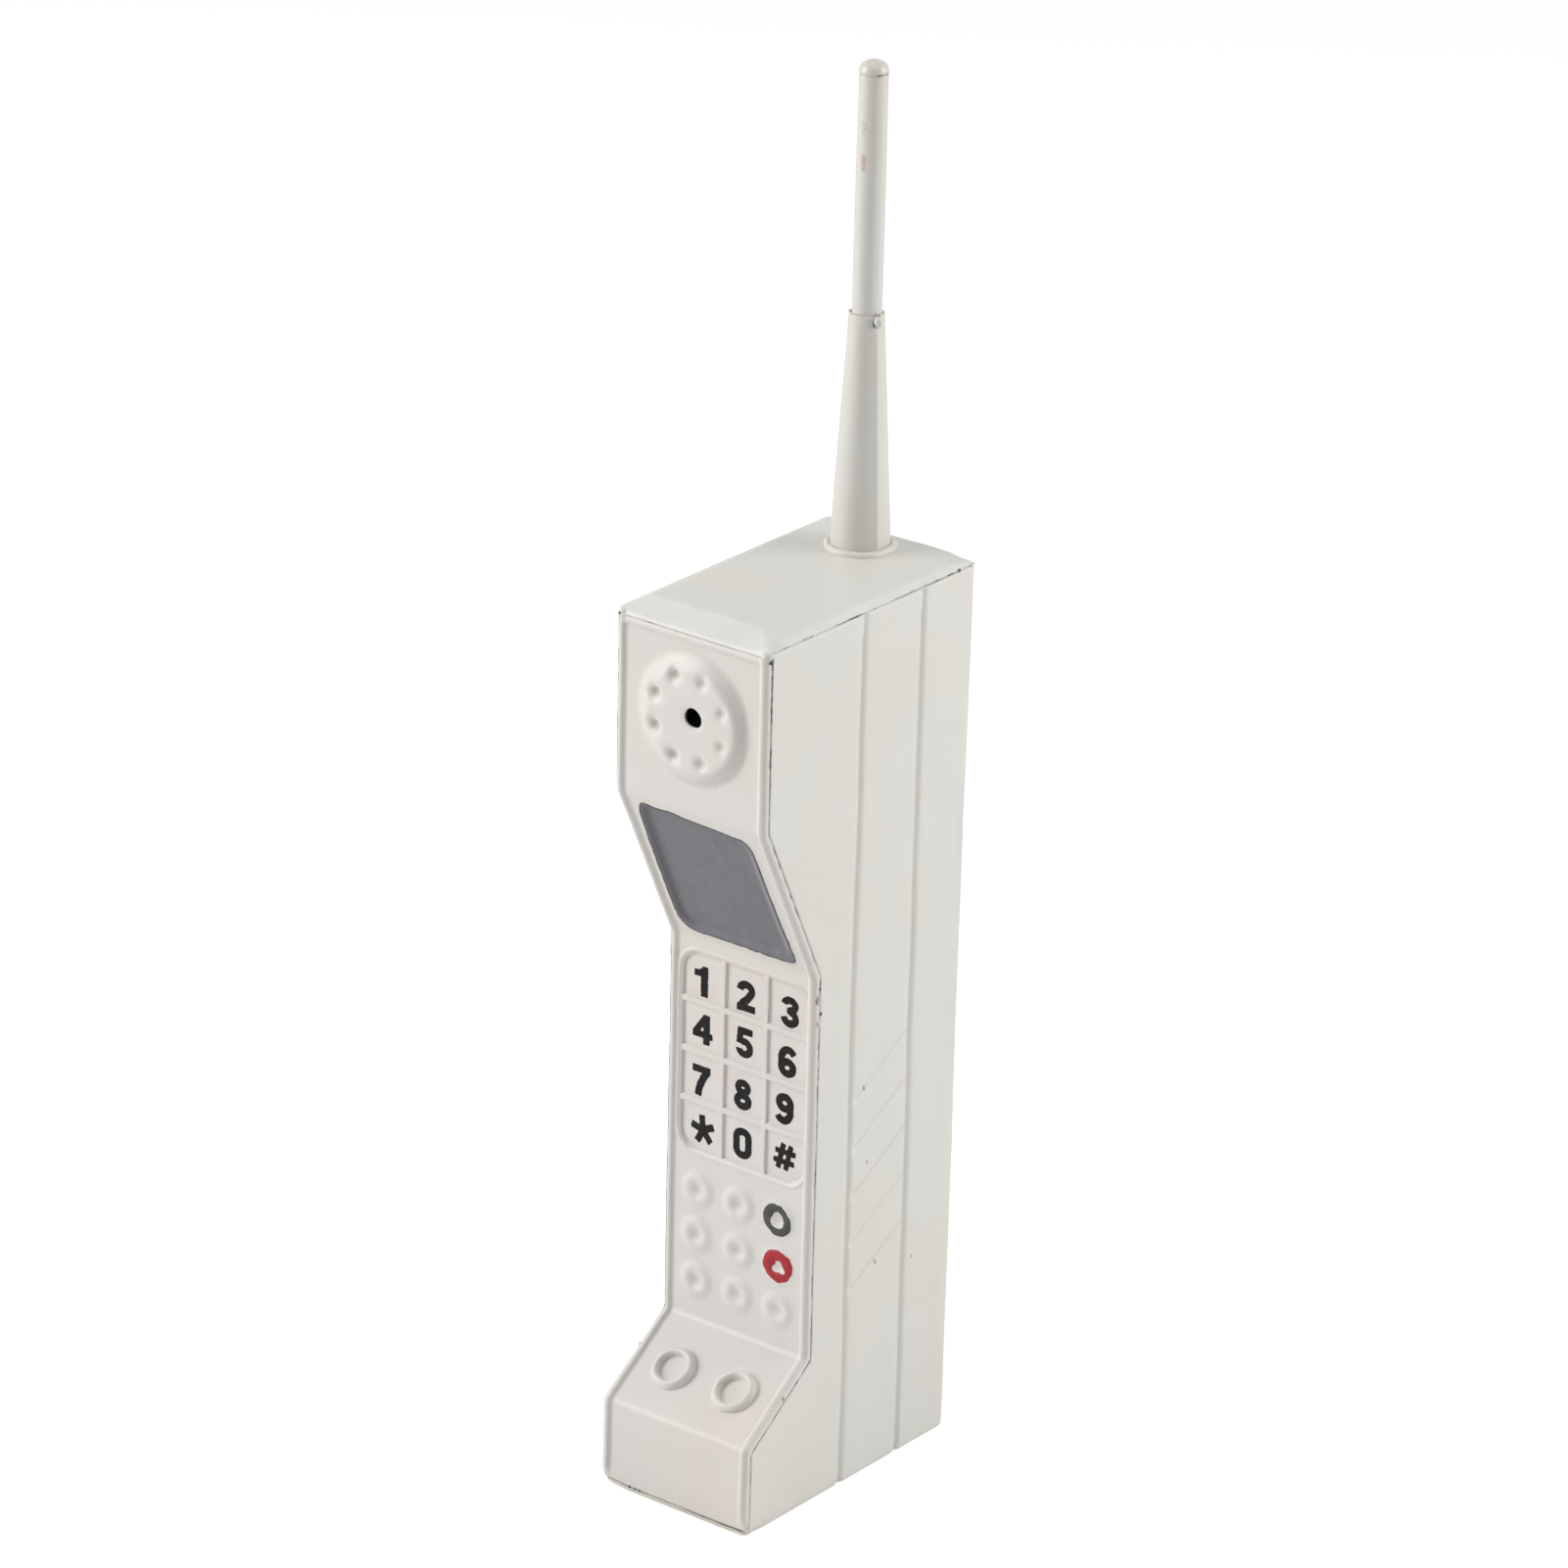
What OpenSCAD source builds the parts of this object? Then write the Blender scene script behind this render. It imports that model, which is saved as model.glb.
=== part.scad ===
// Ornamental hand-held telephone in painted pressed sheet iron, with a
// tapered aerial sleeve and a sliding aerial rod.
// Millimetres. +Z up, front towards -Y, origin at the centre of the base.

/* [Case] */
// Width of the case
body_w = 41.5; // [38:0.5:46]
// Depth of the case at the ear end, front face to back
body_d = 72.4; // [68:0.2:76]
// Height of the case to the top seam
body_h = 212; // [208:1:220]
// Thickness of the sheet
sheet = 0.5; // [0.4:0.05:0.6]
// Outside radius of the two bends at the back
bend_r = 1.3; // [1:0.1:3]

/* [Front profile] */
// Height where the ear face ends and the display slope starts
ear_z = 169.9; // [165:0.1:175]
// Height where the display slope meets the keypad face
slope_z = 129.7; // [125:0.1:133]
// Height where the keypad face meets the lower slope
grip_z = 36.6; // [34:0.1:40]
// Height where the lower slope meets the foot face
foot_z = 21.2; // [18:0.1:24]
// How far the keypad face sits behind the ear face
grip_set = 20; // [16:0.5:22]
// How far the foot stands in front of the ear face
foot_out = 0.8; // [0:0.1:2]
// Height of the raised rim round the front
rim_h = 0.7; // [0.4:0.1:1]

/* [Front relief] */
// Radius of the earpiece disc at its base
ear_r = 16; // [14:0.5:17]
// Height of the earpiece disc
ear_h = 2.2; // [1.8:0.1:2.6]
// Radius of the hole in the earpiece
ear_hole_r = 2.3; // [1.5:0.1:3]
// How far the hole sits to the right of the disc's centre
ear_hole_out = 1.6; // [0:0.1:2.5]
// How far the hole sits above the disc's centre
ear_hole_up = 0.8; // [0:0.1:2]
// Depth of the display recess
screen_deep = 1; // [0.6:0.1:1.4]
// Depth of the keypad cells
key_deep = 0.9; // [0.5:0.1:1.2]
// Pitch of the keypad cells
key_pitch = 12.1; // [11.5:0.1:12.3]
// Width of the bars between keypad cells
key_bar = 1.2; // [0.8:0.1:1.8]

/* [Side grooves] */
// Width of a pressed groove
groove_w = 2.2; // [1.6:0.1:3]
// Depth of a pressed groove
groove_deep = 0.5; // [0.3:0.05:0.6]

/* [Aerial] */
// Sideways place of the aerial
aerial_x = -3.4; // [-8:0.1:8]
// Distance of the aerial behind the ear face
aerial_back = 62.3; // [58:0.1:62.5]
// Length of the tapered sleeve above the top
sleeve_h = 54.5; // [48:0.5:60]
// Outside radius of the sleeve at its foot
sleeve_foot_r = 6.8; // [6.5:0.1:7.2]
// Outside radius of the rod
rod_r = 3.35; // [3.2:0.05:3.4]
// Length of rod seen above the sleeve, without its tip
rod_out = 54.4; // [50:0.1:56]
// Running clearance round the rod in the throat
throat_gap = 0.05; // [0.02:0.01:0.1]

/* [Hidden] */
$fn = 48;

paint_cream = [0.89, 0.87, 0.84];
hw = body_w / 2;
cap_h = 1.2;                                   // top sheet above the seam
y0 = -(body_d - max(ear_h, foot_out + rim_h)) / 2; // ear face
yb = y0 + body_d;                              // back face
top_z = body_h + cap_h;
ax = aerial_x;
ay = y0 + aerial_back;
mouth_z = top_z + sleeve_h;
rod_top = mouth_z + rod_out;
rod_low = mouth_z - 12.2;
ink = 0.12;                                    // thickness of a paint film
gap = 0.05;                                    // assembly gap inside the case

// Outside line of the front sheet, from the top seam down to the base
P = [[y0, body_h], [y0, ear_z], [y0 + grip_set, slope_z],
     [y0 + grip_set, grip_z], [y0 - foot_out, foot_z], [y0 - foot_out, 0]];

function unit(v) = v / norm(v);
function side(a, b) = let (d = unit(b - a)) [-d[1], d[0]];
function rev(p) = [for (i = [len(p) - 1 : -1 : 0]) p[i]];
// The path moved sideways by d, with mitred corners
function shifted(p, d) = let (n = len(p) - 1) [for (i = [0 : n])
    i == 0 ? p[0] + d * side(p[0], p[1]) :
    i == n ? p[n] + d * side(p[n - 1], p[n]) :
    let (a = side(p[i - 1], p[i]), b = side(p[i], p[i + 1]))
        p[i] + d * (a + b) / (1 + a * b)];
function strip(p, a, b) = concat(shifted(p, a), rev(shifted(p, b)));
function arc(cx, cy, rx, ry, a0, a1, n = 12) =
    [for (i = [0 : n]) let (a = a0 + (a1 - a0) * i / n)
        [cx + rx * cos(a), cy + ry * sin(a)]];

// A shape drawn in Y and Z, drawn out along X
module along_x(x0, x1)
    translate([x0, 0, 0]) rotate([90, 0, 90]) linear_extrude(x1 - x0) children();

// Places children on front face i: u from its left edge, v down from its top,
// local Z out of the sheet
module on_face(i, u, v) {
    a = P[i];
    b = P[i + 1];
    translate([u - hw, a[0], a[1]])
        rotate([atan2(a[1] - b[1], a[0] - b[0]), 0, 0])
            translate([0, -v, 0]) children();
}

module rrect(w, h, r) {
    translate([r, 0]) square([w - 2 * r, h]);
    translate([0, r]) square([w, h - 2 * r]);
    for (x = [r, w - r], y = [r, h - r]) translate([x, y]) circle(r);
}

module rblock(w, h, r, z0, z1)
    translate([0, 0, z0]) linear_extrude(z1 - z0) rrect(w, h, r);

// ---------------------------------------------------------------- case

// Plan of the sides and back, d inside the outer skin
module plan(d) {
    r = max(bend_r - d, 0.3);
    translate([-hw + d, y0 - 8]) square([body_w - 2 * d, body_d + 8 - d - r]);
    translate([-hw + d + r, y0 - 8]) square([body_w - 2 * d - 2 * r, body_d + 8 - d]);
    for (s = [-1, 1]) translate([s * (hw - d - r), yb - d - r]) circle(r);
}

side_line = concat(shifted(P, sheet), [[yb, 0], [yb, body_h]]);
groove_y = [y0 + 33.2, y0 + 54.2];
slant_z = [for (k = [0 : 4]) 47.2 + 11.75 * k];   // rear ends of the slanted grooves

// One pressed groove from a to b (Y, Z) on the right side: w wide, from x0 to x1
module groove_bar(a, b, w, x0, x1)
    translate([0, a[0], a[1]]) rotate([atan2(b[1] - a[1], b[0] - a[0]), 0, 0])
        translate([x0, 0, -w / 2]) cube([x1 - x0, norm(b - a), w]);

module grooves(w, x0, x1) {
    for (y = groove_y) groove_bar([y, -1], [y, body_h + 1], w, x0, x1);
    for (z = slant_z)
        groove_bar([groove_y[0] + 0.6, z], [groove_y[1], z + 11.9], w, x0, x1);
}

module wrap_shell() color(paint_cream)
    intersection() {
        difference() {
            union() {
                difference() {
                    linear_extrude(body_h) plan(0);
                    translate([0, 0, -1]) linear_extrude(body_h + 2) plan(sheet);
                }
                intersection() {
                    translate([0, 0, 6.2]) cube([body_w, 200, body_h - 13.4], center = false);
                    grooves(groove_w + 1, hw - sheet - groove_deep, hw - sheet);
                }
                mirror([1, 0, 0]) intersection() {
                    translate([0, 0, 6.2]) cube([body_w, 200, body_h - 13.4], center = false);
                    grooves(groove_w + 1, hw - sheet - groove_deep, hw - sheet);
                }
            }
            for (m = [0, 1]) mirror([m, 0, 0])
                intersection() {
                    translate([0, -100, 6.7]) cube([body_w, 200, body_h - 14.4]);
                    grooves(groove_w, hw - groove_deep, hw + 1);
                }
        }
        along_x(-hw - 1, hw + 1) polygon(side_line);
    }

module earpiece() {
    difference() {
        union() {
            difference() {
                rotate_extrude() polygon([[0, -sheet], [ear_r, -sheet], [ear_r, 0],
                    [ear_r - 0.8, 0.25], [ear_r - 1.8, ear_h * 0.5],
                    [ear_r - 2.7, ear_h * 0.86], [ear_r - 3.5, ear_h], [0, ear_h]]);
                rotate_extrude() polygon([[0, -sheet - 1], [ear_r - 0.8, -sheet - 1],
                    [ear_r - 1.2, -sheet + 0.3], [ear_r - 2.3, ear_h * 0.5 - 0.4],
                    [ear_r - 3.1, ear_h * 0.86 - 0.5], [ear_r - 3.9, ear_h - sheet],
                    [0, ear_h - sheet]]);
            }
            for (k = [0 : 7]) rotate([0, 0, 22.5 + 45 * k]) translate([10.15, 0, ear_h - 1.3])
                cylinder(r = 2, h = 1.3 - sheet / 2);
        }
        for (k = [0 : 7]) rotate([0, 0, 22.5 + 45 * k]) translate([10.15, 0, ear_h + 1.1])
            sphere(r = 1.75);
    }
}

module ring_bump()
    rotate_extrude() polygon([[0, -0.2], [4.35, -0.2], [4.35, 0], [3.6, 0.4],
        [2.9, 0.6], [2.5, 0.6], [1.9, 0.4], [1.4, 0.15], [0, 0.1]]);

bump_u = [9.2, 20.9, 32.5];
bump_v = [61.3, 72.5, 84];
key_w = 3 * key_pitch;
key_h = 4 * key_pitch;
key_u = hw - key_w / 2;
key_v = 3.2;

module front_panel() color([0.9, 0.875, 0.845])
    difference() {
        union() {
            difference() {
                along_x(-hw, hw) polygon(strip(P, 0, sheet));
                on_face(0, hw, 19.8) translate([0, 0, -2]) cylinder(r = ear_r - 0.4, h = 4);
            }
            on_face(0, hw, 19.8) earpiece();
            // rim down both edges and across the top
            for (s = [-1, 1]) {
                along_x(s > 0 ? hw - 2.1 : -hw + 0.2, s > 0 ? hw - 0.2 : -hw + 2.1)
                    polygon(strip(P, -0.6 * rim_h, 0));
                along_x(s > 0 ? hw - 1.7 : -hw + 0.6, s > 0 ? hw - 0.6 : -hw + 1.7)
                    polygon(strip(P, -rim_h, 0));
            }
            translate([-hw + 0.6, y0 - 0.6 * rim_h, body_h - 1.3])
                cube([body_w - 1.2, 0.6 * rim_h + 0.2, 1.1]);
            // return flanges inside the sides
            for (s = [-1, 1])
                along_x(s > 0 ? hw - 2 * sheet - gap : -hw + sheet + gap,
                        s > 0 ? hw - sheet - gap : -hw + 2 * sheet + gap)
                    polygon(strip([[y0, body_h - 8], P[1], P[2], P[3], P[4],
                        [y0 - foot_out, 7]], sheet / 2, 5.5));
            // sheet behind the display and keypad recesses
            on_face(1, 4.1, 42.5) rblock(32.7, 40.8, 4, -screen_deep - sheet, -0.1);
            on_face(2, key_u - 0.5, key_v + key_h + 0.5)
                rblock(key_w + 1, key_h + 1, 5, -key_deep - sheet, -0.1);
            for (u = bump_u, v = bump_v) on_face(2, u, v) ring_bump();
        }
        on_face(0, hw + ear_hole_out, 19.8 - ear_hole_up) translate([0, 0, -5])
                cylinder(r = ear_hole_r, h = 10);
        on_face(1, 4.6, 42) rblock(31.7, 39.8, 3.5, -screen_deep, 5);
        on_face(2, key_u, key_v + key_h) intersection() {
            rblock(key_w, key_h, 4.5, -key_deep, 5);
            union() for (i = [0 : 2], j = [0 : 3])
                translate([i * key_pitch + (i == 0 ? -1 : key_bar / 2),
                           j * key_pitch + (j == 0 ? -1 : key_bar / 2), -3])
                    cube([key_pitch - key_bar / 2 + (i == 1 ? -key_bar / 2 : 1),
                          key_pitch - key_bar / 2 + (j == 1 || j == 2 ? -key_bar / 2 : 1), 9]);
        }
    }

module cap_side(d) polygon([[y0 + 0, body_h - 3], [y0 + 0, body_h + 0.35 - d],
    [y0 + 0.9, body_h + 0.6 - d], [y0 + 10.7, top_z - d], [yb - 1.4, top_z - d],
    [yb - 0.35, top_z - 0.4 - d], [yb, body_h + 0.2 - d], [yb, body_h - 3]]);

module top_cap() color([0.84, 0.835, 0.81])
    difference() {
        union() {
            difference() {
                intersection() {
                    along_x(-hw, hw) cap_side(0);
                    translate([0, 200, 0]) rotate([90, 0, 0]) linear_extrude(400)
                        polygon([[-hw, body_h], [-hw, body_h + 0.35], [-hw + 0.35, top_z - 0.35],
                            [-hw + 1.3, top_z], [hw - 1.3, top_z], [hw - 0.35, top_z - 0.35],
                            [hw, body_h + 0.35], [hw, body_h]]);
                    translate([0, 0, body_h]) linear_extrude(5) plan(0);
                }
                intersection() {
                    along_x(-hw + 1.1, hw - 1.1) cap_side(sheet);
                    translate([-hw, y0 + 1.1, 0]) cube([body_w, body_d - 2.2, 300]);
                }
            }
            difference() {
                translate([-hw + sheet + gap, y0 + sheet + gap, body_h - 6])
                    rblock(body_w - 2 * sheet - 2 * gap, body_d - 2 * sheet - 2 * gap, 1.3, 0, 6.3);
                translate([-hw + 2 * sheet + gap, y0 + 2 * sheet + gap, body_h - 7])
                    rblock(body_w - 4 * sheet - 2 * gap, body_d - 4 * sheet - 2 * gap, 0.8, 0, 9);
            }
        }
        translate([ax, ay, body_h - 5]) cylinder(r = sleeve_foot_r - 0.45, h = 10);
    }

module bottom_plate() color([0.82, 0.815, 0.79])
    difference() {
        translate([-hw + sheet + gap, y0 - foot_out + sheet + gap, 0])
            rblock(body_w - 2 * sheet - 2 * gap, body_d + foot_out - 2 * sheet - 2 * gap, 1.3, 0, 5.5);
        translate([-hw + 2 * sheet + gap, y0 - foot_out + 2 * sheet + gap, sheet])
            rblock(body_w - 4 * sheet - 2 * gap, body_d + foot_out - 4 * sheet - 2 * gap, 0.8, 0, 9);
    }

// Lumps of solder on the seams. Each is a bead cut to the sheets it joins.
seam_spots = [[y0 + grip_set + 0.45, 125.5, 0.9], [y0 + grip_set + 0.5, grip_z - 0.6, 0.8],
              [y0 + 11.2, 29.9, 0.8], [y0 - 0.2, foot_z - 4.5, 0.8]];
module seam_solder() color([0.62, 0.6, 0.56])
    for (m = [0, 1], s = seam_spots) mirror([m, 0, 0])
        intersection() {
            translate([hw, s[0], s[1]]) rotate([0, 90, 0]) cylinder(r = s[2], h = 0.3);
            translate([hw - 0.2, s[0], s[1]]) sphere(r = s[2]);
        }

module ring_boss(u) on_face(3, u, 13.5)
    rotate_extrude() polygon(concat([[3.15, 0], [5.6, 0]],
        [[5.45, 0.5], [5.05, 1.15], [4.6, 1.6], [4.3, 1.75], [4, 1.7], [3.6, 1.4], [3.3, 0.9]]));

module ring_boss_left() color(paint_cream) ring_boss(hw - 8.7);
module ring_boss_right() color(paint_cream) ring_boss(hw + 8.7);

// -------------------------------------------------------------- aerial

throat_r = rod_r + throat_gap;
module at_aerial() translate([ax, ay, 0]) children();

module antenna_collar() color([0.87, 0.86, 0.83]) at_aerial()
    rotate_extrude() polygon(arc(sleeve_foot_r + 0.82, top_z, 0.78, 1.45, 0, 180, 12));

module sleeve_profile()
    polygon([[sleeve_foot_r - 1, top_z - 2.4], [sleeve_foot_r - 0.5, top_z - 2.4],
        [sleeve_foot_r - 0.5, top_z], [sleeve_foot_r, top_z],
        [throat_r + 0.57, mouth_z - 0.3], [throat_r + 0.4, mouth_z],
        [throat_r, mouth_z], [throat_r, mouth_z - 3.2],
        [sleeve_foot_r - 0.65, top_z + 1.8], [sleeve_foot_r - 1, top_z + 0.8]]);

module antenna_sleeve() color(paint_cream) at_aerial() rotate_extrude() sleeve_profile();

module sleeve_washer() color([0.7, 0.68, 0.62]) at_aerial()
    translate([0, 0, top_z - sheet - 1.1]) difference() {
        cylinder(r = sleeve_foot_r + 0.6, h = 1.1);
        translate([0, 0, -1]) cylinder(r = sleeve_foot_r - 0.48, h = 4);
    }

module mouth_solder() color([0.8, 0.78, 0.75]) at_aerial()
    difference() {
        translate([3.95, -1.25, mouth_z - 1.7]) sphere(r = 0.95);
        translate([0, 0, mouth_z - 5]) cylinder(h = 4.7, r2 = throat_r + 0.57,
            r1 = throat_r + 0.57 + 4.7 * (sleeve_foot_r - throat_r - 0.57) / (sleeve_h - 0.3));
    }

module antenna_rod() color(paint_cream) at_aerial()
    rotate_extrude() polygon([[rod_r - sheet, rod_low], [rod_r, rod_low],
        [rod_r, mouth_z + 25], [rod_r - 0.15, rod_top],
        [rod_r - 0.15 - sheet, rod_top], [rod_r - sheet, mouth_z + 25]]);

module antenna_tip() color([0.86, 0.85, 0.82]) at_aerial()
    rotate_extrude() polygon(concat([[0, rod_top - 3], [rod_r - sheet - 0.2, rod_top - 3],
        [rod_r - sheet - 0.2, rod_top], [rod_r - 0.03, rod_top]],
        arc(0, rod_top + 0.3, rod_r - 0.03, 2.6, 0, 90, 10)));

module rod_stop_ring() color([0.7, 0.68, 0.62]) at_aerial()
    translate([0, 0, rod_low]) difference() {
        cylinder(r = rod_r + 0.27, h = 2.5);
        translate([0, 0, -1]) cylinder(r = rod_r + 0.01, h = 5);
    }

// ---------------------------------------------------------- paint films

module screen_paint() color([0.48, 0.48, 0.5])
    on_face(1, 0, 0) translate([0, 0, -screen_deep]) linear_extrude(ink)
        polygon(concat(
            [for (k = [0 : 12]) let (x = 6.9 + 27.2 * k / 12) [x, -3.1 - 0.035 * (x - 7) + 0.12 * sin(190 * k)]],
            [[35.5, -5.6]], [for (k = [0 : 10]) [35.9 + 0.12 * sin(150 * k), -7 - 30.5 * k / 10]],
            [[34.6, -40.6], [32.9, -41.4]],
            [for (k = [0 : 10]) [31.6 - 23 * k / 10, -41.5 + 0.12 * sin(170 * k)]],
            [[6.4, -40.4], [5.2, -38.2]],
            [for (k = [0 : 10]) [5 + 0.12 * sin(140 * k), -36.5 + 30.2 * k / 10]], [[5.5, -4.2]]));

module bar(x0, x1, y0, y1) translate([x0, y0]) square([x1 - x0, y1 - y0]);
module pen(path, w = 1.75) polygon(strip(path, -w / 2, w / 2));
module oval(cx, cy, rx, ry, w = 1.6) difference() {
    polygon(arc(cx, cy, rx + w / 2, ry + w / 2, 0, 348, 29));
    polygon(arc(cx, cy, rx - w / 2, ry - w / 2, 0, 348, 29));
}

module glyph_six() {
    oval(0, -1.35, 1.65, 1.35);
    pen(concat(arc(0.35, 0.55, 1.98, 2.2, 42, 180, 12), [[-1.6, -1.3]]), 1.5);
}

module glyph(k) {
    if (k == 1) polygon([[1.6, -3.4], [1.6, 3.4], [0.2, 3.4], [-0.5, 2.45], [-1.6, 2.05],
                         [-1.6, 0.95], [-0.1, 1.3], [-0.1, -3.4]]);
    if (k == 2) {
        pen(concat(arc(0, 1.25, 1.72, 1.45, 172, -32, 12), [[-0.35, -1], [-1.6, -2.45]]), 1.55);
        bar(-2.5, 2.5, -3.45, -2.05);
    }
    if (k == 3) {
        pen(arc(-0.05, 1.55, 1.6, 1.2, 165, -88, 12), 1.45);
        pen(arc(-0.05, -1.4, 1.75, 1.35, 90, -165, 12), 1.5);
    }
    if (k == 4) {
        bar(0.45, 2.05, -3.45, 3.4);
        bar(-2.65, 2.75, -1.95, -0.65);
        polygon([[0.45, 3.4], [2, 3.4], [-1.15, -0.7], [-2.65, -0.7]]);
    }
    if (k == 5) {
        bar(-1.85, 2.15, 2.15, 3.45);
        polygon([[-1.9, 3], [-0.45, 3], [-0.75, -0.2], [-2.2, 0.1]]);
        pen(arc(0, -1.15, 1.62, 1.5, 128, -160, 14), 1.5);
    }
    if (k == 6) glyph_six();
    if (k == 7) {
        bar(-2.4, 2.4, 2.1, 3.5);
        pen([[1.65, 2.6], [0.35, 0.7], [-0.45, -1.2], [-0.75, -3.5]], 1.55);
    }
    if (k == 8) {
        oval(0, 1.65, 1.4, 1.15, 1.45);
        oval(0, -1.5, 1.62, 1.3, 1.5);
    }
    if (k == 9) rotate(180) glyph_six();
    if (k == 10) for (a = [92 : 72 : 380]) rotate(a) bar(-0.2, 3.1, -0.72, 0.72);
    if (k == 11) difference() {
        polygon(arc(0, 0, 2.5, 3.5, 0, 348, 29));
        polygon(arc(0, 0, 0.92, 2, 0, 348, 29));
    }
    if (k == 12) rotate(-4) {
        for (x = [-1.1, 1.1]) polygon([[x - 1.1, -3], [x - 0.1, -3], [x + 1.1, 3], [x + 0.1, 3]]);
        bar(-2.9, 2.6, -1.75, -0.75);
        bar(-2.5, 2.9, 0.65, 1.65);
    }
}

// Where the printer put each character: u and v of its middle
glyph_at = [[8.9, 9.7], [21.4, 9.7], [33.8, 9.8], [9.4, 21.2], [21.3, 21], [33.4, 21.9],
            [9.3, 33.9], [21.1, 33.7], [33.2, 33.6], [9.8, 45.5], [21.4, 45.5], [33.3, 45.1]];

module key_numerals() color([0.19, 0.18, 0.18])
    for (k = [1 : 12]) on_face(2, glyph_at[k - 1][0] - 0.45, glyph_at[k - 1][1] + 0.85)
        translate([0, 0, -key_deep]) linear_extrude(ink) glyph(k);

module ring_film(c) color(c) rotate_extrude() polygon([[3.6, 0.4], [2.9, 0.6], [2.5, 0.6],
    [1.9, 0.4], [1.9, 0.4 + ink], [2.5, 0.6 + ink], [2.9, 0.6 + ink], [3.6, 0.4 + ink]]);
module green_ring_paint() on_face(2, bump_u[2], bump_v[0]) ring_film([0.29, 0.31, 0.27]);
module red_ring_paint() on_face(2, bump_u[2], bump_v[1]) ring_film([0.75, 0.13, 0.2]);

wrap_shell();
front_panel();
top_cap();
bottom_plate();
seam_solder();
ring_boss_left();
ring_boss_right();
antenna_collar();
antenna_sleeve();
sleeve_washer();
mouth_solder();
antenna_rod();
antenna_tip();
rod_stop_ring();
screen_paint();
key_numerals();
green_ring_paint();
red_ring_paint();
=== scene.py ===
"""A telephone soldered up from painted sheet iron, with an aerial in a tapered sleeve on top.

It stands upright on z = 0 and faces -Y, with its left side at -X and its back at +Y.
Shapes are worked out in mm and become metres as the meshes are made. Places on the pressed
front are given by face, distance across from its left edge and distance down the face.
"""
import math

import bmesh
import bpy
import numpy as np
from mathutils import Matrix, Vector


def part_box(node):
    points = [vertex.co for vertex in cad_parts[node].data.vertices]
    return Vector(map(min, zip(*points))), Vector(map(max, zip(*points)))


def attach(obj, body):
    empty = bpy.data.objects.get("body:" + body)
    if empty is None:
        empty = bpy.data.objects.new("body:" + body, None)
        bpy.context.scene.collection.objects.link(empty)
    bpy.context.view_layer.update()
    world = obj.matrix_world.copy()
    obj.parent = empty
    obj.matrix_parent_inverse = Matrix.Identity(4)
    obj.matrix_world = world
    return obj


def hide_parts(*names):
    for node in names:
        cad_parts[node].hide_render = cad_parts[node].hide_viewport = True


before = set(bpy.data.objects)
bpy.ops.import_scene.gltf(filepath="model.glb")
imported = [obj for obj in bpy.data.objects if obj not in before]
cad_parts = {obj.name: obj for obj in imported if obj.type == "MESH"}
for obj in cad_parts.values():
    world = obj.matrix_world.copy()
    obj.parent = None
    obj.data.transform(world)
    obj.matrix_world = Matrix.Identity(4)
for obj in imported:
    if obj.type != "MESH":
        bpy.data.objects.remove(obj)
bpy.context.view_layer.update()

MM = 0.001

# ------------------------------------------------------------ sizes from the CAD parts, in mm


def box_mm(node):
    low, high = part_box(node)
    return np.array(low) * 1000, np.array(high) * 1000


front_low, front_high = box_mm("front_panel")
wrap_high = box_mm("wrap_shell")[1]
rod_low, rod_high = box_mm("antenna_rod")
HALF = float(front_high[0])             # half the case's width
WIDTH = 2 * HALF
BACK_Y = float(wrap_high[1])
EAR_Y = float(front_low[1]) + 2.2       # the flat of the ear face
CASE_Z = float(wrap_high[2])            # seam under the top sheet
TOP_Z = float(box_mm("top_cap")[1][2])
AERIAL_X = float(rod_low[0] + rod_high[0]) / 2
AERIAL_Y = float(rod_low[1] + rod_high[1]) / 2
MOUTH_Z = float(box_mm("antenna_sleeve")[1][2])
ROD_LOW_Z, ROD_TOP_Z = float(rod_low[2]), float(rod_high[2])
TIP_Z = float(box_mm("antenna_tip")[1][2])
THICK = 0.5                             # sheet thickness

# ------------------------------------------------------------ small maths


def smooth(t):
    t = np.clip(t, 0.0, 1.0)
    return t * t * (3 - 2 * t)


def smoother(t):
    t = np.clip(t, 0.0, 1.0)
    return t * t * t * (t * (6 * t - 15) + 10)


def bell(offset, width, power=2):
    return np.exp(-(offset / width) ** power)


def waves(points, seed, size):
    """A smooth repeatable unevenness of about unit height, with features of about size mm."""
    count = 7
    random = np.random.RandomState(seed)
    total = np.zeros(points.shape[:-1])
    for _ in range(count):
        wave = random.normal(size=points.shape[-1])
        wave /= np.linalg.norm(wave)
        wave *= 2 * math.pi / (size * random.uniform(0.7, 1.6))
        total += np.sin(points @ wave + random.uniform(0, 6.28))
    return total / math.sqrt(count)


def grid_lines(low, high, step, special=()):
    """Sorted lines from low to high, with the special ones kept and crowded others dropped."""
    kept = []
    for line in sorted(s for s in special if low <= s <= high):
        if not kept or line - kept[-1] > 0.05:
            kept.append(line)
    kept = [line for line in kept if line - low > 0.05 and high - line > 0.05] + [low, high]
    count = max(1, int(round((high - low) / step)))
    for line in np.linspace(low, high, count + 1)[1:-1]:
        if min(abs(line - other) for other in kept) > 0.42 * step:
            kept.append(float(line))
    return np.array(sorted(kept))


def grid_chain(stops, steps, special=()):
    """Grid lines over consecutive stretches, each with its own step."""
    spans = [grid_lines(low, high, step, special)
             for low, high, step in zip(stops, stops[1:], steps)]
    return np.concatenate([spans[0]] + [span[1:] for span in spans[1:]])


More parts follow.
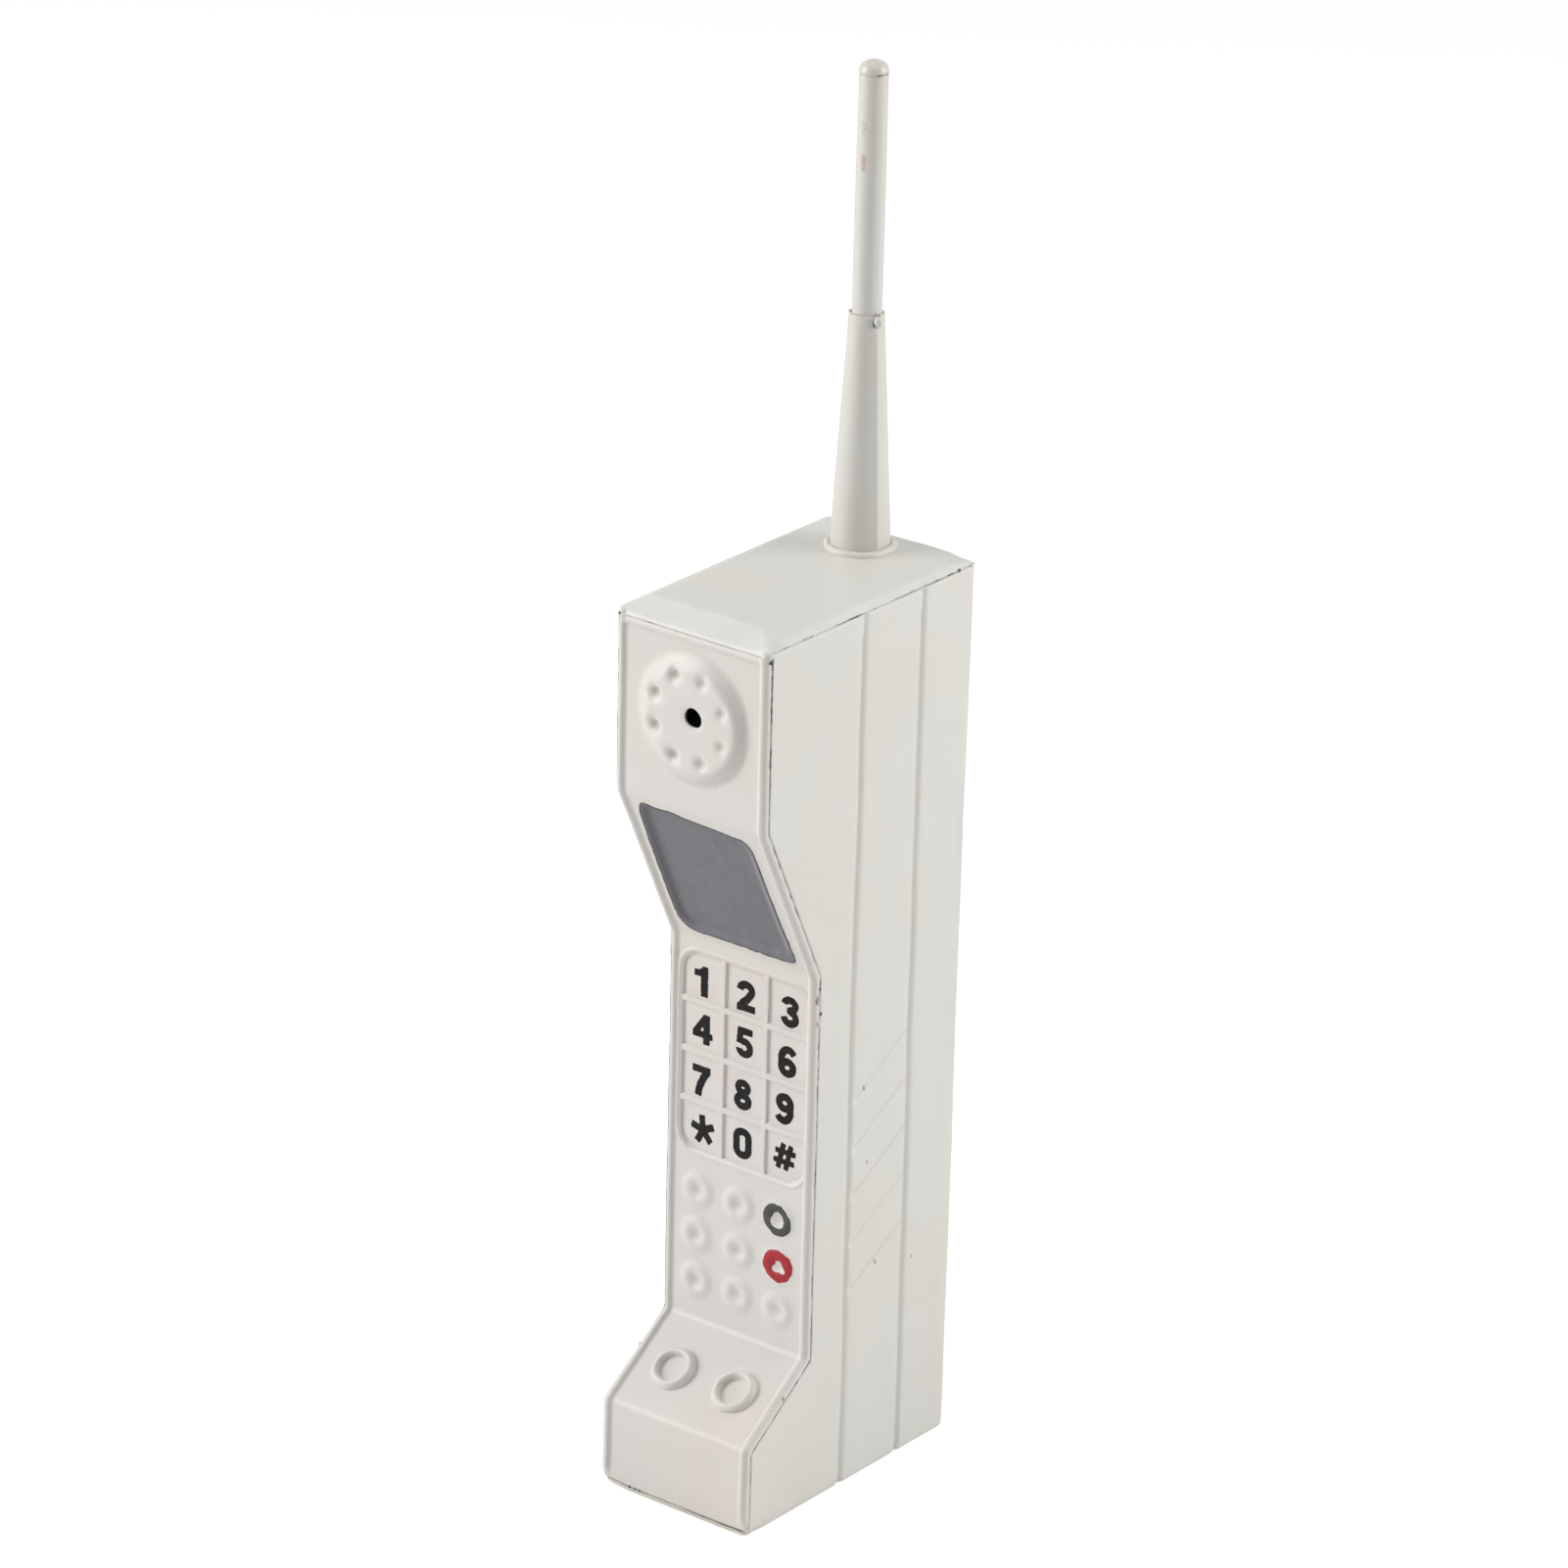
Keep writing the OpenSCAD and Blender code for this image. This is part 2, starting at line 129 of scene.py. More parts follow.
def rounded_rect_distance(x, y, x0, x1, y0, y1, radius):
    """Signed distance to a rounded rectangle, negative inside."""
    out_x = np.abs(x - (x0 + x1) / 2) - (x1 - x0) / 2 + radius
    out_y = np.abs(y - (y0 + y1) / 2) - (y1 - y0) / 2 + radius
    return (np.hypot(np.maximum(out_x, 0), np.maximum(out_y, 0))
            + np.minimum(np.maximum(out_x, out_y), 0) - radius)


def polygon_distance(x, y, points):
    """Signed distance to a polygon, negative inside."""
    nearest, sign = np.full(x.shape, 1e9), np.ones(x.shape)
    for i, (ax, ay) in enumerate(points):
        bx, by = points[(i + 1) % len(points)]
        run_x, run_y = bx - ax, by - ay
        off_x, off_y = x - ax, y - ay
        t = np.clip((off_x * run_x + off_y * run_y) / (run_x * run_x + run_y * run_y), 0, 1)
        nearest = np.minimum(nearest, np.hypot(off_x - run_x * t, off_y - run_y * t))
        above, below, beside = y >= ay, y < by, run_x * off_y > run_y * off_x
        crossed = (above & below & beside) | (~above & ~below & ~beside)
        sign = np.where(crossed, -sign, sign)
    return nearest * sign


def round_hole(x, y, centre, square, radius_at, blend):
    """Bends grid lines near a centre from a square to a circle; also gives the cells inside."""
    off_x, off_y = x - centre[0], y - centre[1]
    ring = np.maximum(np.abs(off_x), np.abs(off_y))
    length = np.hypot(off_x, off_y) + 1e-9
    radius = radius_at(np.arctan2(off_y, off_x))
    t = smoother((ring - square) / blend)
    scale = (1 - t) * (ring * radius / square) / length + t
    near = (ring > 1e-6) & (ring < square + blend)
    cell = np.maximum(np.abs((off_x[:-1, :-1] + off_x[1:, 1:]) / 2),
                      np.abs((off_y[:-1, :-1] + off_y[1:, 1:]) / 2))
    return (np.where(near, centre[0] + off_x * scale, x),
            np.where(near, centre[1] + off_y * scale, y), cell < square - 0.05)


# ------------------------------------------------------------ mesh making


def mesh_object(name, verts, faces, material, attributes=None, sharp=50):
    """An object from mm points and arrays of faces, turned outwards, with unused points gone."""
    verts = np.asarray(verts, float)
    used = np.unique(np.concatenate([np.asarray(group).ravel() for group in faces]))
    index = -np.ones(len(verts), int)
    index[used] = np.arange(len(used))
    faces = [index[np.asarray(group)] for group in faces]
    verts = verts[used]
    volume = 0.0
    for group in faces:
        first = verts[group[:, 0]]
        for k in range(1, group.shape[1] - 1):
            cross = np.cross(verts[group[:, k]], verts[group[:, k + 1]])
            volume += np.einsum("ij,ij->i", first, cross).sum()
    if volume < 0:
        faces = [group[:, ::-1] for group in faces]
    mesh = bpy.data.meshes.new(name)
    sizes = np.concatenate([np.full(len(group), group.shape[1]) for group in faces])
    loops = np.concatenate([group.ravel() for group in faces])
    mesh.vertices.add(len(verts))
    mesh.vertices.foreach_set("co", (verts * MM).ravel())
    mesh.loops.add(len(loops))
    mesh.loops.foreach_set("vertex_index", loops.astype(np.int32))
    mesh.polygons.add(len(sizes))
    starts = np.concatenate([[0], np.cumsum(sizes)[:-1]])
    mesh.polygons.foreach_set("loop_start", starts.astype(np.int32))
    mesh.update(calc_edges=True)
    mesh.validate()
    for key, values in (attributes or {}).items():
        layer = mesh.attributes.new(key, "FLOAT", "POINT")
        kept = np.asarray(values, float).ravel()[used]
        layer.data.foreach_set("value", kept.astype(np.float32))
    mesh.shade_smooth()
    mesh.set_sharp_from_angle(angle=math.radians(sharp))
    return link_object(name, mesh, material)


def link_object(name, mesh, material):
    ob = bpy.data.objects.new(name, mesh)
    bpy.context.scene.collection.objects.link(ob)
    mesh.materials.append(material)
    return ob


def place(ob, replaced=None, rides="case"):
    """Parents a piece to the empty of the body it rides on, and hides the CAD piece it replaces.
    """
    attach(ob, rides)
    if replaced:
        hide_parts(replaced)


def both_sides(outer, inner):
    return np.concatenate([outer.reshape(-1, 3), inner.reshape(-1, 3)])


def outer_values(values, inner_count, inner_value):
    """Attribute values for the outer points, then one value for all the inner points."""
    return np.concatenate([values.ravel(), np.full(inner_count, inner_value)])


def grid_quads(index, alive):
    corners = index[:-1, :-1], index[:-1, 1:], index[1:, 1:], index[1:, :-1]
    return np.stack([corner[alive] for corner in corners], -1)


def sheet_faces(rows, cols, dead=None, closed=False):
    """Faces of a sheet with an outer grid of rows x cols points and an inner one after it."""
    index = np.arange(rows * cols).reshape(rows, cols)
    if closed:
        index = np.concatenate([index, index[:, :1]], axis=1)
    alive = np.ones((rows - 1, index.shape[1] - 1), bool) if dead is None else ~dead
    quads = grid_quads(index, alive)
    count = rows * cols
    edges = np.concatenate([quads[:, [k, (k + 1) % 4]] for k in range(4)])
    key = edges[:, 0].astype(np.int64) * count + edges[:, 1]
    back = edges[:, 1].astype(np.int64) * count + edges[:, 0]
    rim = edges[~np.isin(key, back)]
    strips = np.stack([rim[:, 1], rim[:, 0], rim[:, 0] + count, rim[:, 1] + count], -1)
    return [np.concatenate([quads, quads[:, ::-1] + count, strips])]


def coarse_faces(rows, cols, dead, kept_rows, kept_cols):
    """Faces of a sheet whose inner grid keeps only some of the outer grid's lines."""
    index = np.arange(rows * cols).reshape(rows, cols)
    alive = ~dead
    row_spans = list(zip(kept_rows, kept_rows[1:]))
    col_spans = list(zip(kept_cols, kept_cols[1:]))
    inner = np.arange(len(kept_rows) * len(kept_cols)).reshape(len(kept_rows), len(kept_cols))
    inner = inner + rows * cols
    live = np.array([[alive[r0:r1, c0:c1].any() for c0, c1 in col_spans]
                     for r0, r1 in row_spans])
    groups = {4: [grid_quads(index, alive), grid_quads(inner, live)[:, ::-1]]}
    padded = np.pad(live, 1)
    for i, (r0, r1) in enumerate(row_spans):
        for j, (c0, c1) in enumerate(col_spans):
            if not live[i, j]:
                continue
            # neighbouring cell, outer points along that edge, inner points at its ends
            edges = (
                (padded[i, j + 1], index[r0, c0:c1 + 1], inner[i, j], inner[i, j + 1]),
                (padded[i + 1, j + 2], index[r0:r1 + 1, c1],
                 inner[i, j + 1], inner[i + 1, j + 1]),
                (padded[i + 2, j + 1], index[r1, c0:c1 + 1][::-1],
                 inner[i + 1, j + 1], inner[i + 1, j]),
                (padded[i + 1, j], index[r0:r1 + 1, c0][::-1], inner[i + 1, j], inner[i, j]))
            for neighbour, chain, start, end in edges:
                if not neighbour:
                    face = list(chain[::-1]) + [start, end]
                    groups.setdefault(len(face), []).append(np.array([face]))
    return [np.concatenate(group) for group in groups.values()]


def ring_faces(rows, cols):
    """Faces of a ring whose rows make a closed section and whose columns go right round."""
    index = np.arange(rows * cols).reshape(rows, cols)
    following = np.roll(index, -1, axis=0)
    return [np.stack([index, np.roll(index, -1, 1), np.roll(following, -1, 1), following],
                     -1).reshape(-1, 4)]


def eroded(grid, reach):
    """The lowest value within reach cells, along each axis in turn."""
    for axis in (0, 1):
        padding = [(reach, reach) if k == axis else (0, 0) for k in (0, 1)]
        padded = np.pad(grid, padding, mode="edge")
        grid = np.min([np.take(padded, range(k, k + grid.shape[axis]), axis=axis)
                       for k in range(2 * reach + 1)], axis=0)
    return grid


def tube(path, radius, segments):
    """A tube of varying radius along a path of points in mm, with closed ends."""
    count = len(path)
    along = np.gradient(path, axis=0)
    along /= np.linalg.norm(along, axis=1)[:, None] + 1e-12
    reference = np.array([1.0, 0.13, 0.07])
    turn = np.linspace(0, 2 * math.pi, segments, endpoint=False)
    verts = []
    for i in range(count):
        side = reference - along[i] * (reference @ along[i])
        side /= np.linalg.norm(side)
        other = np.cross(along[i], side)
        circle = np.cos(turn)[:, None] * side + np.sin(turn)[:, None] * other
        verts.append(path[i] + radius[i] * circle)
    index = np.arange(count * segments).reshape(count, segments)
    following = np.roll(index, -1, axis=1)
    quads = np.stack([index[:-1], following[:-1], following[1:], index[1:]], -1).reshape(-1, 4)
    centre = np.full(segments, count * segments)
    caps = np.concatenate([np.stack([following[0], index[0], centre], -1),
                           np.stack([index[-1], following[-1], centre + 1], -1)])
    return np.concatenate(verts + [path[:1], path[-1:]]), [quads, caps]


def lathe(profile, segments, shape):
    """Turns a closed (radius, z) profile round the aerial. shape(r, z, angle) may move it."""
    profile = np.asarray(profile, float)
    turn = np.linspace(0, 2 * math.pi, segments, endpoint=False)
    radius, z = (np.repeat(profile[:, k:k + 1], segments, 1) for k in (0, 1))
    angle = np.repeat(turn[None, :], len(profile), 0)
    radius, z = shape(radius, z, angle)
    verts = np.stack([AERIAL_X + radius * np.cos(angle), AERIAL_Y + radius * np.sin(angle), z], -1)
    return verts.reshape(-1, 3), ring_faces(len(profile), segments)


# ------------------------------------------------------------ the front's line

TOP_SEAM = 1.05                         # the front stops this far below the case's top
LOW_SEAM = 1.08                         # and this far above the base
EAR_FACE, SCREEN_FACE, KEY_FACE, RING_FACE, FOOT_FACE, UNDER_FACE = range(6)
# (y, z) corners down the front, and the bend radius at each
FRONT_LINE = np.array([
    [EAR_Y, CASE_Z], [EAR_Y, CASE_Z - 42.1], [EAR_Y + 20, CASE_Z - 82.3], [EAR_Y + 20, 36.6],
    [EAR_Y - 0.8, 21.2], [EAR_Y - 0.8, LOW_SEAM], [EAR_Y + 0.95, LOW_SEAM]])
BENDS = [0, 4.6, 3.0, 2.0, 1.8, 0.5, 0]
FACE_DIR = np.diff(FRONT_LINE, axis=0)
FACE_LEN = np.linalg.norm(FACE_DIR, axis=1)
FACE_DIR = FACE_DIR / FACE_LEN[:, None]
FACE_OUT = np.stack([FACE_DIR[:, 1], -FACE_DIR[:, 0]], -1)


def front_rows(line_lists, arc_steps=6):
    """Rows down the front: (y, z), outward normal, face, distance down it, direction down."""
    count = len(FRONT_LINE)
    used = np.zeros(count)              # length each bend takes from its faces
    for i in range(1, count - 1):
        turn = math.acos(np.clip(FACE_DIR[i - 1] @ FACE_DIR[i], -1, 1))
        used[i] = BENDS[i] * math.tan(turn / 2)
    rows = []
    for i in range(count - 1):
        start, end = used[i], FACE_LEN[i] - used[i + 1]
        between = [down for down in line_lists[i] if start + 0.08 < down < end - 0.08]
        for down in [start] + between + [end]:
            place_yz = FRONT_LINE[i] + FACE_DIR[i] * down
            rows.append((*place_yz, *FACE_OUT[i], i, down, *FACE_DIR[i]))
        if i == count - 2:
            continue
        here, following, radius = FACE_DIR[i], FACE_DIR[i + 1], BENDS[i + 1]
        sign = 1 if here[0] * following[1] - here[1] * following[0] > 0 else -1
        centre = FRONT_LINE[i] + here * end - sign * FACE_OUT[i] * radius
        whole = math.acos(np.clip(here @ following, -1, 1)) * sign
        for k in range(1, arc_steps):
            turn = whole * k / arc_steps
            cos, sin = math.cos(turn), math.sin(turn)
            out_y, out_z = FACE_OUT[i]
            out = np.array([out_y * cos - out_z * sin, out_y * sin + out_z * cos])
            rows.append((*(centre + sign * out * radius), *out, i, end + 0.001 * k,
                         -out[1], out[0]))
    return np.array(rows)


# ------------------------------------------------------------ relief pressed into the front

EAR = (20.75, 19.8)                     # centre of the ear disc: across, down
EAR_HOLE = (EAR[0] + 1.6, EAR[1] - 0.8)
EAR_HOLE_R = 2.3
PIT_RING_R = 10.15                      # circle the eight pits of the ear disc lie on
PIT_ANGLES = [math.radians(22.5 + 45 * k) for k in range(8)]
# recesses: across from, to, down from, to, corner radius
SCREEN = (4.3, 36.5, 2.2, 42.2, 4.0)
KEYS = (3.70, 38.95, 3.5, 51.6, 4.6)
SCREEN_DEEP, KEY_DEEP = 1.0, 0.70
BARS_ACROSS, BARS_DOWN = (15.1, 27.2), (15.4, 27.6, 39.7)
BUMPS_ACROSS, BUMPS_DOWN = (9.3, 21.0, 32.6), (61.0, 72.3, 83.6)
RING_CENTRES = {"left": WIDTH / 2 - 8.7, "right": WIDTH / 2 + 8.7}
RING_DOWN = 13.5

# the display's painted edge, clockwise from its top left, a little beyond its recess:
# (across, down)
DISPLAY_OUTLINE = [
    (5.95, 2.45), (6.5, 1.98), (7.3, 1.85), (8.2, 1.95), (9.5, 2.2), (12, 2.3), (14, 2.0),
    (15.5, 2.1), (17.5, 2.6), (20, 2.8), (24, 3.0), (28, 3.3), (31, 3.6), (33.5, 3.6),
    (34.8, 4.3), (35.5, 5.3), (36, 7), (36.1, 12), (36.2, 20), (36.4, 28), (36.6, 33),
    (36.9, 35), (36.9, 37), (36.7, 37.3), (37, 38.5), (36.9, 40.5), (36.3, 41.5),
    (34.8, 42), (33, 42.2), (28, 42.2), (20, 42.2), (12, 42.3), (9.5, 42.45), (7.8, 42.25),
    (6.4, 41.7), (5.1, 40.5), (4.4, 38.9), (4.1, 37), (4.05, 30), (4.1, 22), (4.25, 14),
    (4.5, 8), (4.85, 5.2), (5.45, 3.3)]


def top_bead(depth):
    """The rolled edge along the top of the ear face."""
    rise = 0.5 * np.sqrt(np.clip(1 - ((0.9 - depth) / 0.95) ** 2, 0, 1))
    return np.where(depth < 0.9, rise, 0.5 * smooth((2.1 - depth) / 1.2))


def side_bead(depth):
    """The rolled edge down each side: it falls away to the seam."""
    t = np.clip((1.55 - depth) / 1.55, 0, 1)
    fall = 0.68 - 1.43 * (1 - np.sqrt(np.clip(1 - t * t, 0, 1)))
    return np.where(depth < 1.55, fall, 0.68 * smooth((2.65 - depth) / 1.1))


def ear_relief(across, down, middle):
    """A raised disc with a ring of pits and a dished hole."""
    radius = np.hypot(across - EAR[0], down - EAR[1])
    angle = np.arctan2(down - EAR[1], across - EAR[0])
    edge = 16.4 + 0.2 * np.sin(2 * angle + 0.7)
    softness = 0.5 - 0.5 * np.cos(angle - 0.5)
    height = 2.1 * smoother((edge - 0.35 * softness - radius) / (4.7 + 1.9 * softness))
    for k, pit_angle in enumerate(PIT_ANGLES):
        left = 0.5 - 0.5 * math.cos(pit_angle)
        off = np.hypot(across - EAR[0] - PIT_RING_R * math.cos(pit_angle),
                       down - EAR[1] - PIT_RING_R * math.sin(pit_angle))
        depth = 0.64 + 1.02 * left + 0.06 * math.sin(3 * k)
        height -= depth * bell(off, 1.25 + 0.50 * left, power=2.3)
    hole_off = np.hypot(across - EAR_HOLE[0], down - EAR_HOLE[1])
    height -= 0.22 * bell(hole_off - EAR_HOLE_R, 0.55)
    height += 0.08 * middle * smoother((radius - 15) / 3)
    return np.maximum(height, top_bead(down - TOP_SEAM) * smooth((radius - 14) / 2))


def screen_relief(across, down, middle):
    """The display's recess, with walls softer at some corners."""
    off = np.maximum(rounded_rect_distance(across, down, *SCREEN),
                     polygon_distance(across, down, DISPLAY_OUTLINE) + 0.34)
    soft = (0.7 * smooth((12 - across) / 6)
            + 1.3 * smooth((down - 38) / 3) * smooth((34 - across) / 4)
            + 2.3 * smooth((across - 30) / 3) * smooth((down - 3) / 3))
    height = -SCREEN_DEEP * smoother((0.05 - off) / (0.95 + soft))
    return height + 0.14 * bell(off - 0.6, 0.5) + 0.05 * middle * smoother(-off / 4)


def key_relief(across, down, middle):
    """Twelve sunk cells between bars, with nine dimpled bumps below."""
    off = rounded_rect_distance(across, down, *KEYS)
    cell = -off
    for bars, position in ((BARS_ACROSS, across), (BARS_DOWN, down)):
        for bar in bars:
            cell = np.minimum(cell, np.abs(position - bar) - 0.62)
    height = -KEY_DEEP * smoother((cell + 0.06) / 0.44)
    height += 0.28 * bell(off - 0.74, 0.32)
    height -= 0.10 * smooth((0.45 - off) / 0.25) * (cell < 0.1)
    for i, bump_down in enumerate(BUMPS_DOWN):
        for j, bump_across in enumerate(BUMPS_ACROSS):
            radius = np.hypot(across - bump_across - 0.15 * math.sin(5 * i + 3 * j),
                              down - bump_down - 0.15 * math.cos(4 * i + j))
            rise = 0.54 + 0.06 * math.sin(7 * i + 2 * j)
            height += rise * (bell(np.abs(radius - 2.75), 1.40, power=2.2)
                              - 0.22 * bell(radius, 1.3))
    return height + 0.05 * middle * smooth((down - 53) / 4)


def ring_relief(across, down, middle):
    """The slope under the keys, with a faint groove round each ring boss."""
    height = 0.05 * middle
    for centre in RING_CENTRES.values():
        radius = np.hypot(across - centre, down - RING_DOWN)
        height = height - 0.08 * bell(radius - 5.7, 0.5)
    return height


def foot_relief(across, down, middle):
    return 0.05 * middle + 0.12 * middle * smooth(down / 5) * smooth((21 - down) / 5)


RELIEFS = (ear_relief, screen_relief, key_relief, ring_relief, foot_relief)


def relief(face, across, down):
    """How far the outside of the front stands out of its face, in mm."""
    side = np.minimum(across, WIDTH - across)
    middle = np.clip(1 - ((across - WIDTH / 2) / (WIDTH / 2 - 2.2)) ** 2, 0, 1)
    height = RELIEFS[face](across, down, middle)
    edge = np.maximum(height, 0)
    if face == KEY_FACE:
        edge = np.where(height < -0.2, height, edge) * smooth((side - 2.3) / 0.4)
    else:
        edge = edge * smooth((side - 1.5) / 1.2)
    return np.where(side < 2.7, edge + side_bead(side), height)


def front_waves(points):
    """The front's slight hand-beaten unevenness."""
    return waves(points, 5, 17.0) * 0.035 + waves(points, 6, 6.0) * 0.014


def warp(points):
    """The case's overall unevenness, shared by its sheets so that they still meet."""
    points = np.asarray(points, float)
    x, y, z = points[..., 0], points[..., 1], points[..., 2]
    moved = points.copy()
    fade = smooth((CASE_Z + 1.5 - z) / 30) * smooth((z + 2) / 12)
    moved[..., 0] += (0.10 * np.sin(z / 31 + 0.6) + 0.05 * np.sin(z / 11 + y / 23)) * fade
    moved[..., 1] += 0.07 * np.sin(z / 26 + 2.1) * fade * (y < BACK_Y - 8)
    # the lower front corners are knocked in
    for side, amount in ((-1, 0.75), (1, 0.30)):
        near = (smooth(1 - z / 4.2) * smooth((EAR_Y + 7 - y) / 6)
                * smooth((x * side - 12) / 8.75))
        moved[..., 0] -= side * amount * near
        moved[..., 2] += 0.6 * amount * near * smooth(1 - z / 3.0)
        moved[..., 1] += 0.5 * amount * near
    # the left side is fuller at the ear and the foot, and the back leans out at the top
    moved[..., 0] -= smooth((-x - 4) / 15) * (0.36 * smooth((z - 160) / 14)
                                              + 0.28 * smooth((34 - z) / 12))
    moved[..., 1] += (z / CASE_Z - 0.5) * 1.05 * smooth((y - (BACK_Y - 10)) / 9)
    return moved


def front_point(face, across, down, lift):
    """Points on the pressed front, lift mm off its surface, with the shared warp."""
    (start_y, start_z), (dir_y, dir_z) = FRONT_LINE[face], FACE_DIR[face]
    points = np.stack([across - HALF, start_y + dir_y * down, start_z + dir_z * down], -1)
    height = relief(face, across, down) + front_waves(points) + lift
    points[..., 1] += FACE_OUT[face][0] * height
    points[..., 2] += FACE_OUT[face][1] * height
    return warp(points)


# ------------------------------------------------------------ materials


def srgb(red, green, blue):
    def linear(value):
        value /= 255
        return value / 12.92 if value <= 0.04045 else ((value + 0.055) / 1.055) ** 2.4
    return (linear(red), linear(green), linear(blue))


class Shader:
    """A Principled material and its nodes. Positions are in mm from the object's origin."""

    def __init__(self, name):
        self.material = bpy.data.materials.new(name)
        self.material.use_nodes = True
        self.tree = self.material.node_tree
        self.tree.nodes.clear()
        output = self.add("OutputMaterial")
        self.surface = self.add("BsdfPrincipled")
        self.link(self.surface.outputs[0], output.inputs[0])
        coordinates = self.add("TexCoord")
        scaled = self.add("Mapping")
        scaled.inputs["Scale"].default_value = (1000, 1000, 1000)
        self.link(coordinates.outputs["Object"], scaled.inputs["Vector"])
        self.position = scaled.outputs[0]

    def add(self, kind):
        return self.tree.nodes.new("ShaderNode" + kind)

    def link(self, value, socket):
        if hasattr(value, "is_output"):
            self.tree.links.new(value, socket)
        else:
            socket.default_value = value

    def put(self, name, value):
        self.link(value, self.surface.inputs[name])

    def noise(self, scale, detail=3.0, rough=0.55, stretch=None, distort=0.0):
        vector = self.position
        if stretch:
            mapping = self.add("Mapping")
            mapping.inputs["Scale"].default_value = stretch
            self.link(vector, mapping.inputs["Vector"])
            vector = mapping.outputs[0]
        node = self.add("TexNoise")
        node.inputs["Scale"].default_value = scale
        node.inputs["Detail"].default_value = detail
        node.inputs["Roughness"].default_value = rough
        node.inputs["Distortion"].default_value = distort
        self.link(vector, node.inputs["Vector"])
        return node.outputs["Fac"]

    def math(self, operation, first, second=0.0):
        node = self.add("Math")
        node.operation = operation
        self.link(first, node.inputs[0])
        self.link(second, node.inputs[1])
        return node.outputs[0]

    def times(self, first, second):
        return self.math("MULTIPLY", first, second)

    def centred(self, noise, amount):
        """Noise about zero, scaled."""
        return self.times(self.math("SUBTRACT", noise, 0.5), amount)

    def ramp(self, value, low, high, to_low=0.0, to_high=1.0):
        node = self.add("MapRange")
        node.interpolation_type = "SMOOTHSTEP"
        node.clamp = True
        self.link(value, node.inputs["Value"])
        node.inputs["From Min"].default_value = low
        node.inputs["From Max"].default_value = high
        node.inputs["To Min"].default_value = to_low
        node.inputs["To Max"].default_value = to_high
        return node.outputs[0]

    def mix(self, factor, first, second):
        node = self.add("Mix")
        node.data_type = "RGBA"
        self.link(factor, node.inputs[0])
        for socket, colour in ((6, first), (7, second)):
            value = colour if hasattr(colour, "is_output") else (*colour, 1.0)
            self.link(value, node.inputs[socket])
        return node.outputs[2]

    def tint(self, base, colour, mask, amount):
        """Base moved towards colour by amount wherever mask is 1."""
        return self.mix(self.times(mask, amount), base, colour)

    def attribute(self, name):
        node = self.add("Attribute")
        node.attribute_name = name
        return node.outputs["Fac"]

    def axis(self, k):
        node = self.add("SeparateXYZ")
        self.link(self.position, node.inputs[0])
        return node.outputs[k]

    def near(self, value, at, reach):
        """1 where value is close to at, falling to 0 at reach away."""
        distance = self.math("ABSOLUTE", self.math("SUBTRACT", value, at))
        return self.ramp(distance, reach, reach * 0.4)

    def bump(self, height, distance, strength, normal=None):
        node = self.add("Bump")
        node.inputs["Strength"].default_value = strength
        node.inputs["Distance"].default_value = distance
        self.link(height, node.inputs["Height"])
        if normal is not None:
            self.link(normal, node.inputs["Normal"])
        return node.outputs[0]


METAL = srgb(74, 70, 66)
CREAM = srgb(234, 230, 227)


def paint(name, colour=CREAM, seam=False, crease=False, rough=(0.36, 0.48), marks=None,
          dents=1.0, grain=1.0, coat=0.12):
    """Thick brushed enamel on sheet iron, with painted shade laid into creases and beside seams
    when asked.
    """
    net = Shader(name)
    broad = net.noise(0.018, detail=2.0)
    middling = net.noise(0.11)
    fine = net.noise(0.9)
    warm = tuple(c * k for c, k in zip(colour, (0.99, 0.972, 0.94)))
    cool = tuple(c * k for c, k in zip(colour, (0.975, 0.985, 0.985)))
    base = net.mix(net.ramp(broad, 0.35, 0.68), cool, warm)
    base = net.tint(base, colour, net.ramp(middling, 0.5, 0.75), amount=0.35)
    # faint handling marks
    smears = net.noise(0.06, detail=5.0, rough=0.7, distort=0.6)
    base = net.tint(base, srgb(196, 184, 170), net.ramp(smears, 0.62, 0.78), amount=0.10)
    blend = net.math("ADD", net.times(middling, 0.6), net.times(fine, 0.4))
    roughness = net.ramp(blend, 0.3, 0.7, to_low=rough[0], to_high=rough[1])
    if crease:
        # painted shade: the paint is darkened where the crease attribute says a point lies below
        # its neighbours
        painted_crease_shade = net.ramp(net.attribute("crease"), 0.03, 0.35)
        base = net.tint(base, srgb(176, 168, 158), painted_crease_shade, amount=0.26)
    if seam:
        # bare metal bites unevenly into the paint at the seams
        distance = net.attribute("seam")
        ragged = net.centred(net.noise(0.2, detail=4.0, rough=0.62), -1.5)
        metal = net.ramp(net.math("ADD", distance, ragged), 0.16, -0.02)
        # painted shade: the paint within 0.7 mm of a seam is greyed as the shade of the seam's
        # crevice
        base = net.tint(base, srgb(176, 173, 168), net.ramp(distance, 0.7, 0.0), amount=0.35)
        base = net.mix(metal, base, METAL)
        net.put("Metallic", net.times(metal, 0.7))
    # tiny chips down to the metal
    chips = net.ramp(net.noise(0.75, detail=2.0, rough=0.5), 0.805, 0.83)
    base = net.tint(base, srgb(120, 104, 90), chips, amount=0.75)
    if marks is not None:
        base = marks(net, base)
    net.put("Base Color", base)
    net.put("Roughness", roughness)
    net.put("Coat Weight", coat)
    net.put("Coat Roughness", 0.2)
    # dents, brush marks, grain, then the edges of the chips
    normal = net.bump(net.noise(0.045, detail=2.0), distance=0.0006 * dents, strength=0.35)
    normal = net.bump(net.noise(0.28, detail=2.0), 0.00007 * grain, 0.5, normal)
    normal = net.bump(net.noise(1.3, detail=2.0, rough=0.5), 0.000012 * grain, 0.5, normal)
    normal = net.bump(net.math("SUBTRACT", 1.0, chips), 0.00005, 0.6, normal)
    net.put("Normal", normal)
    return net.material


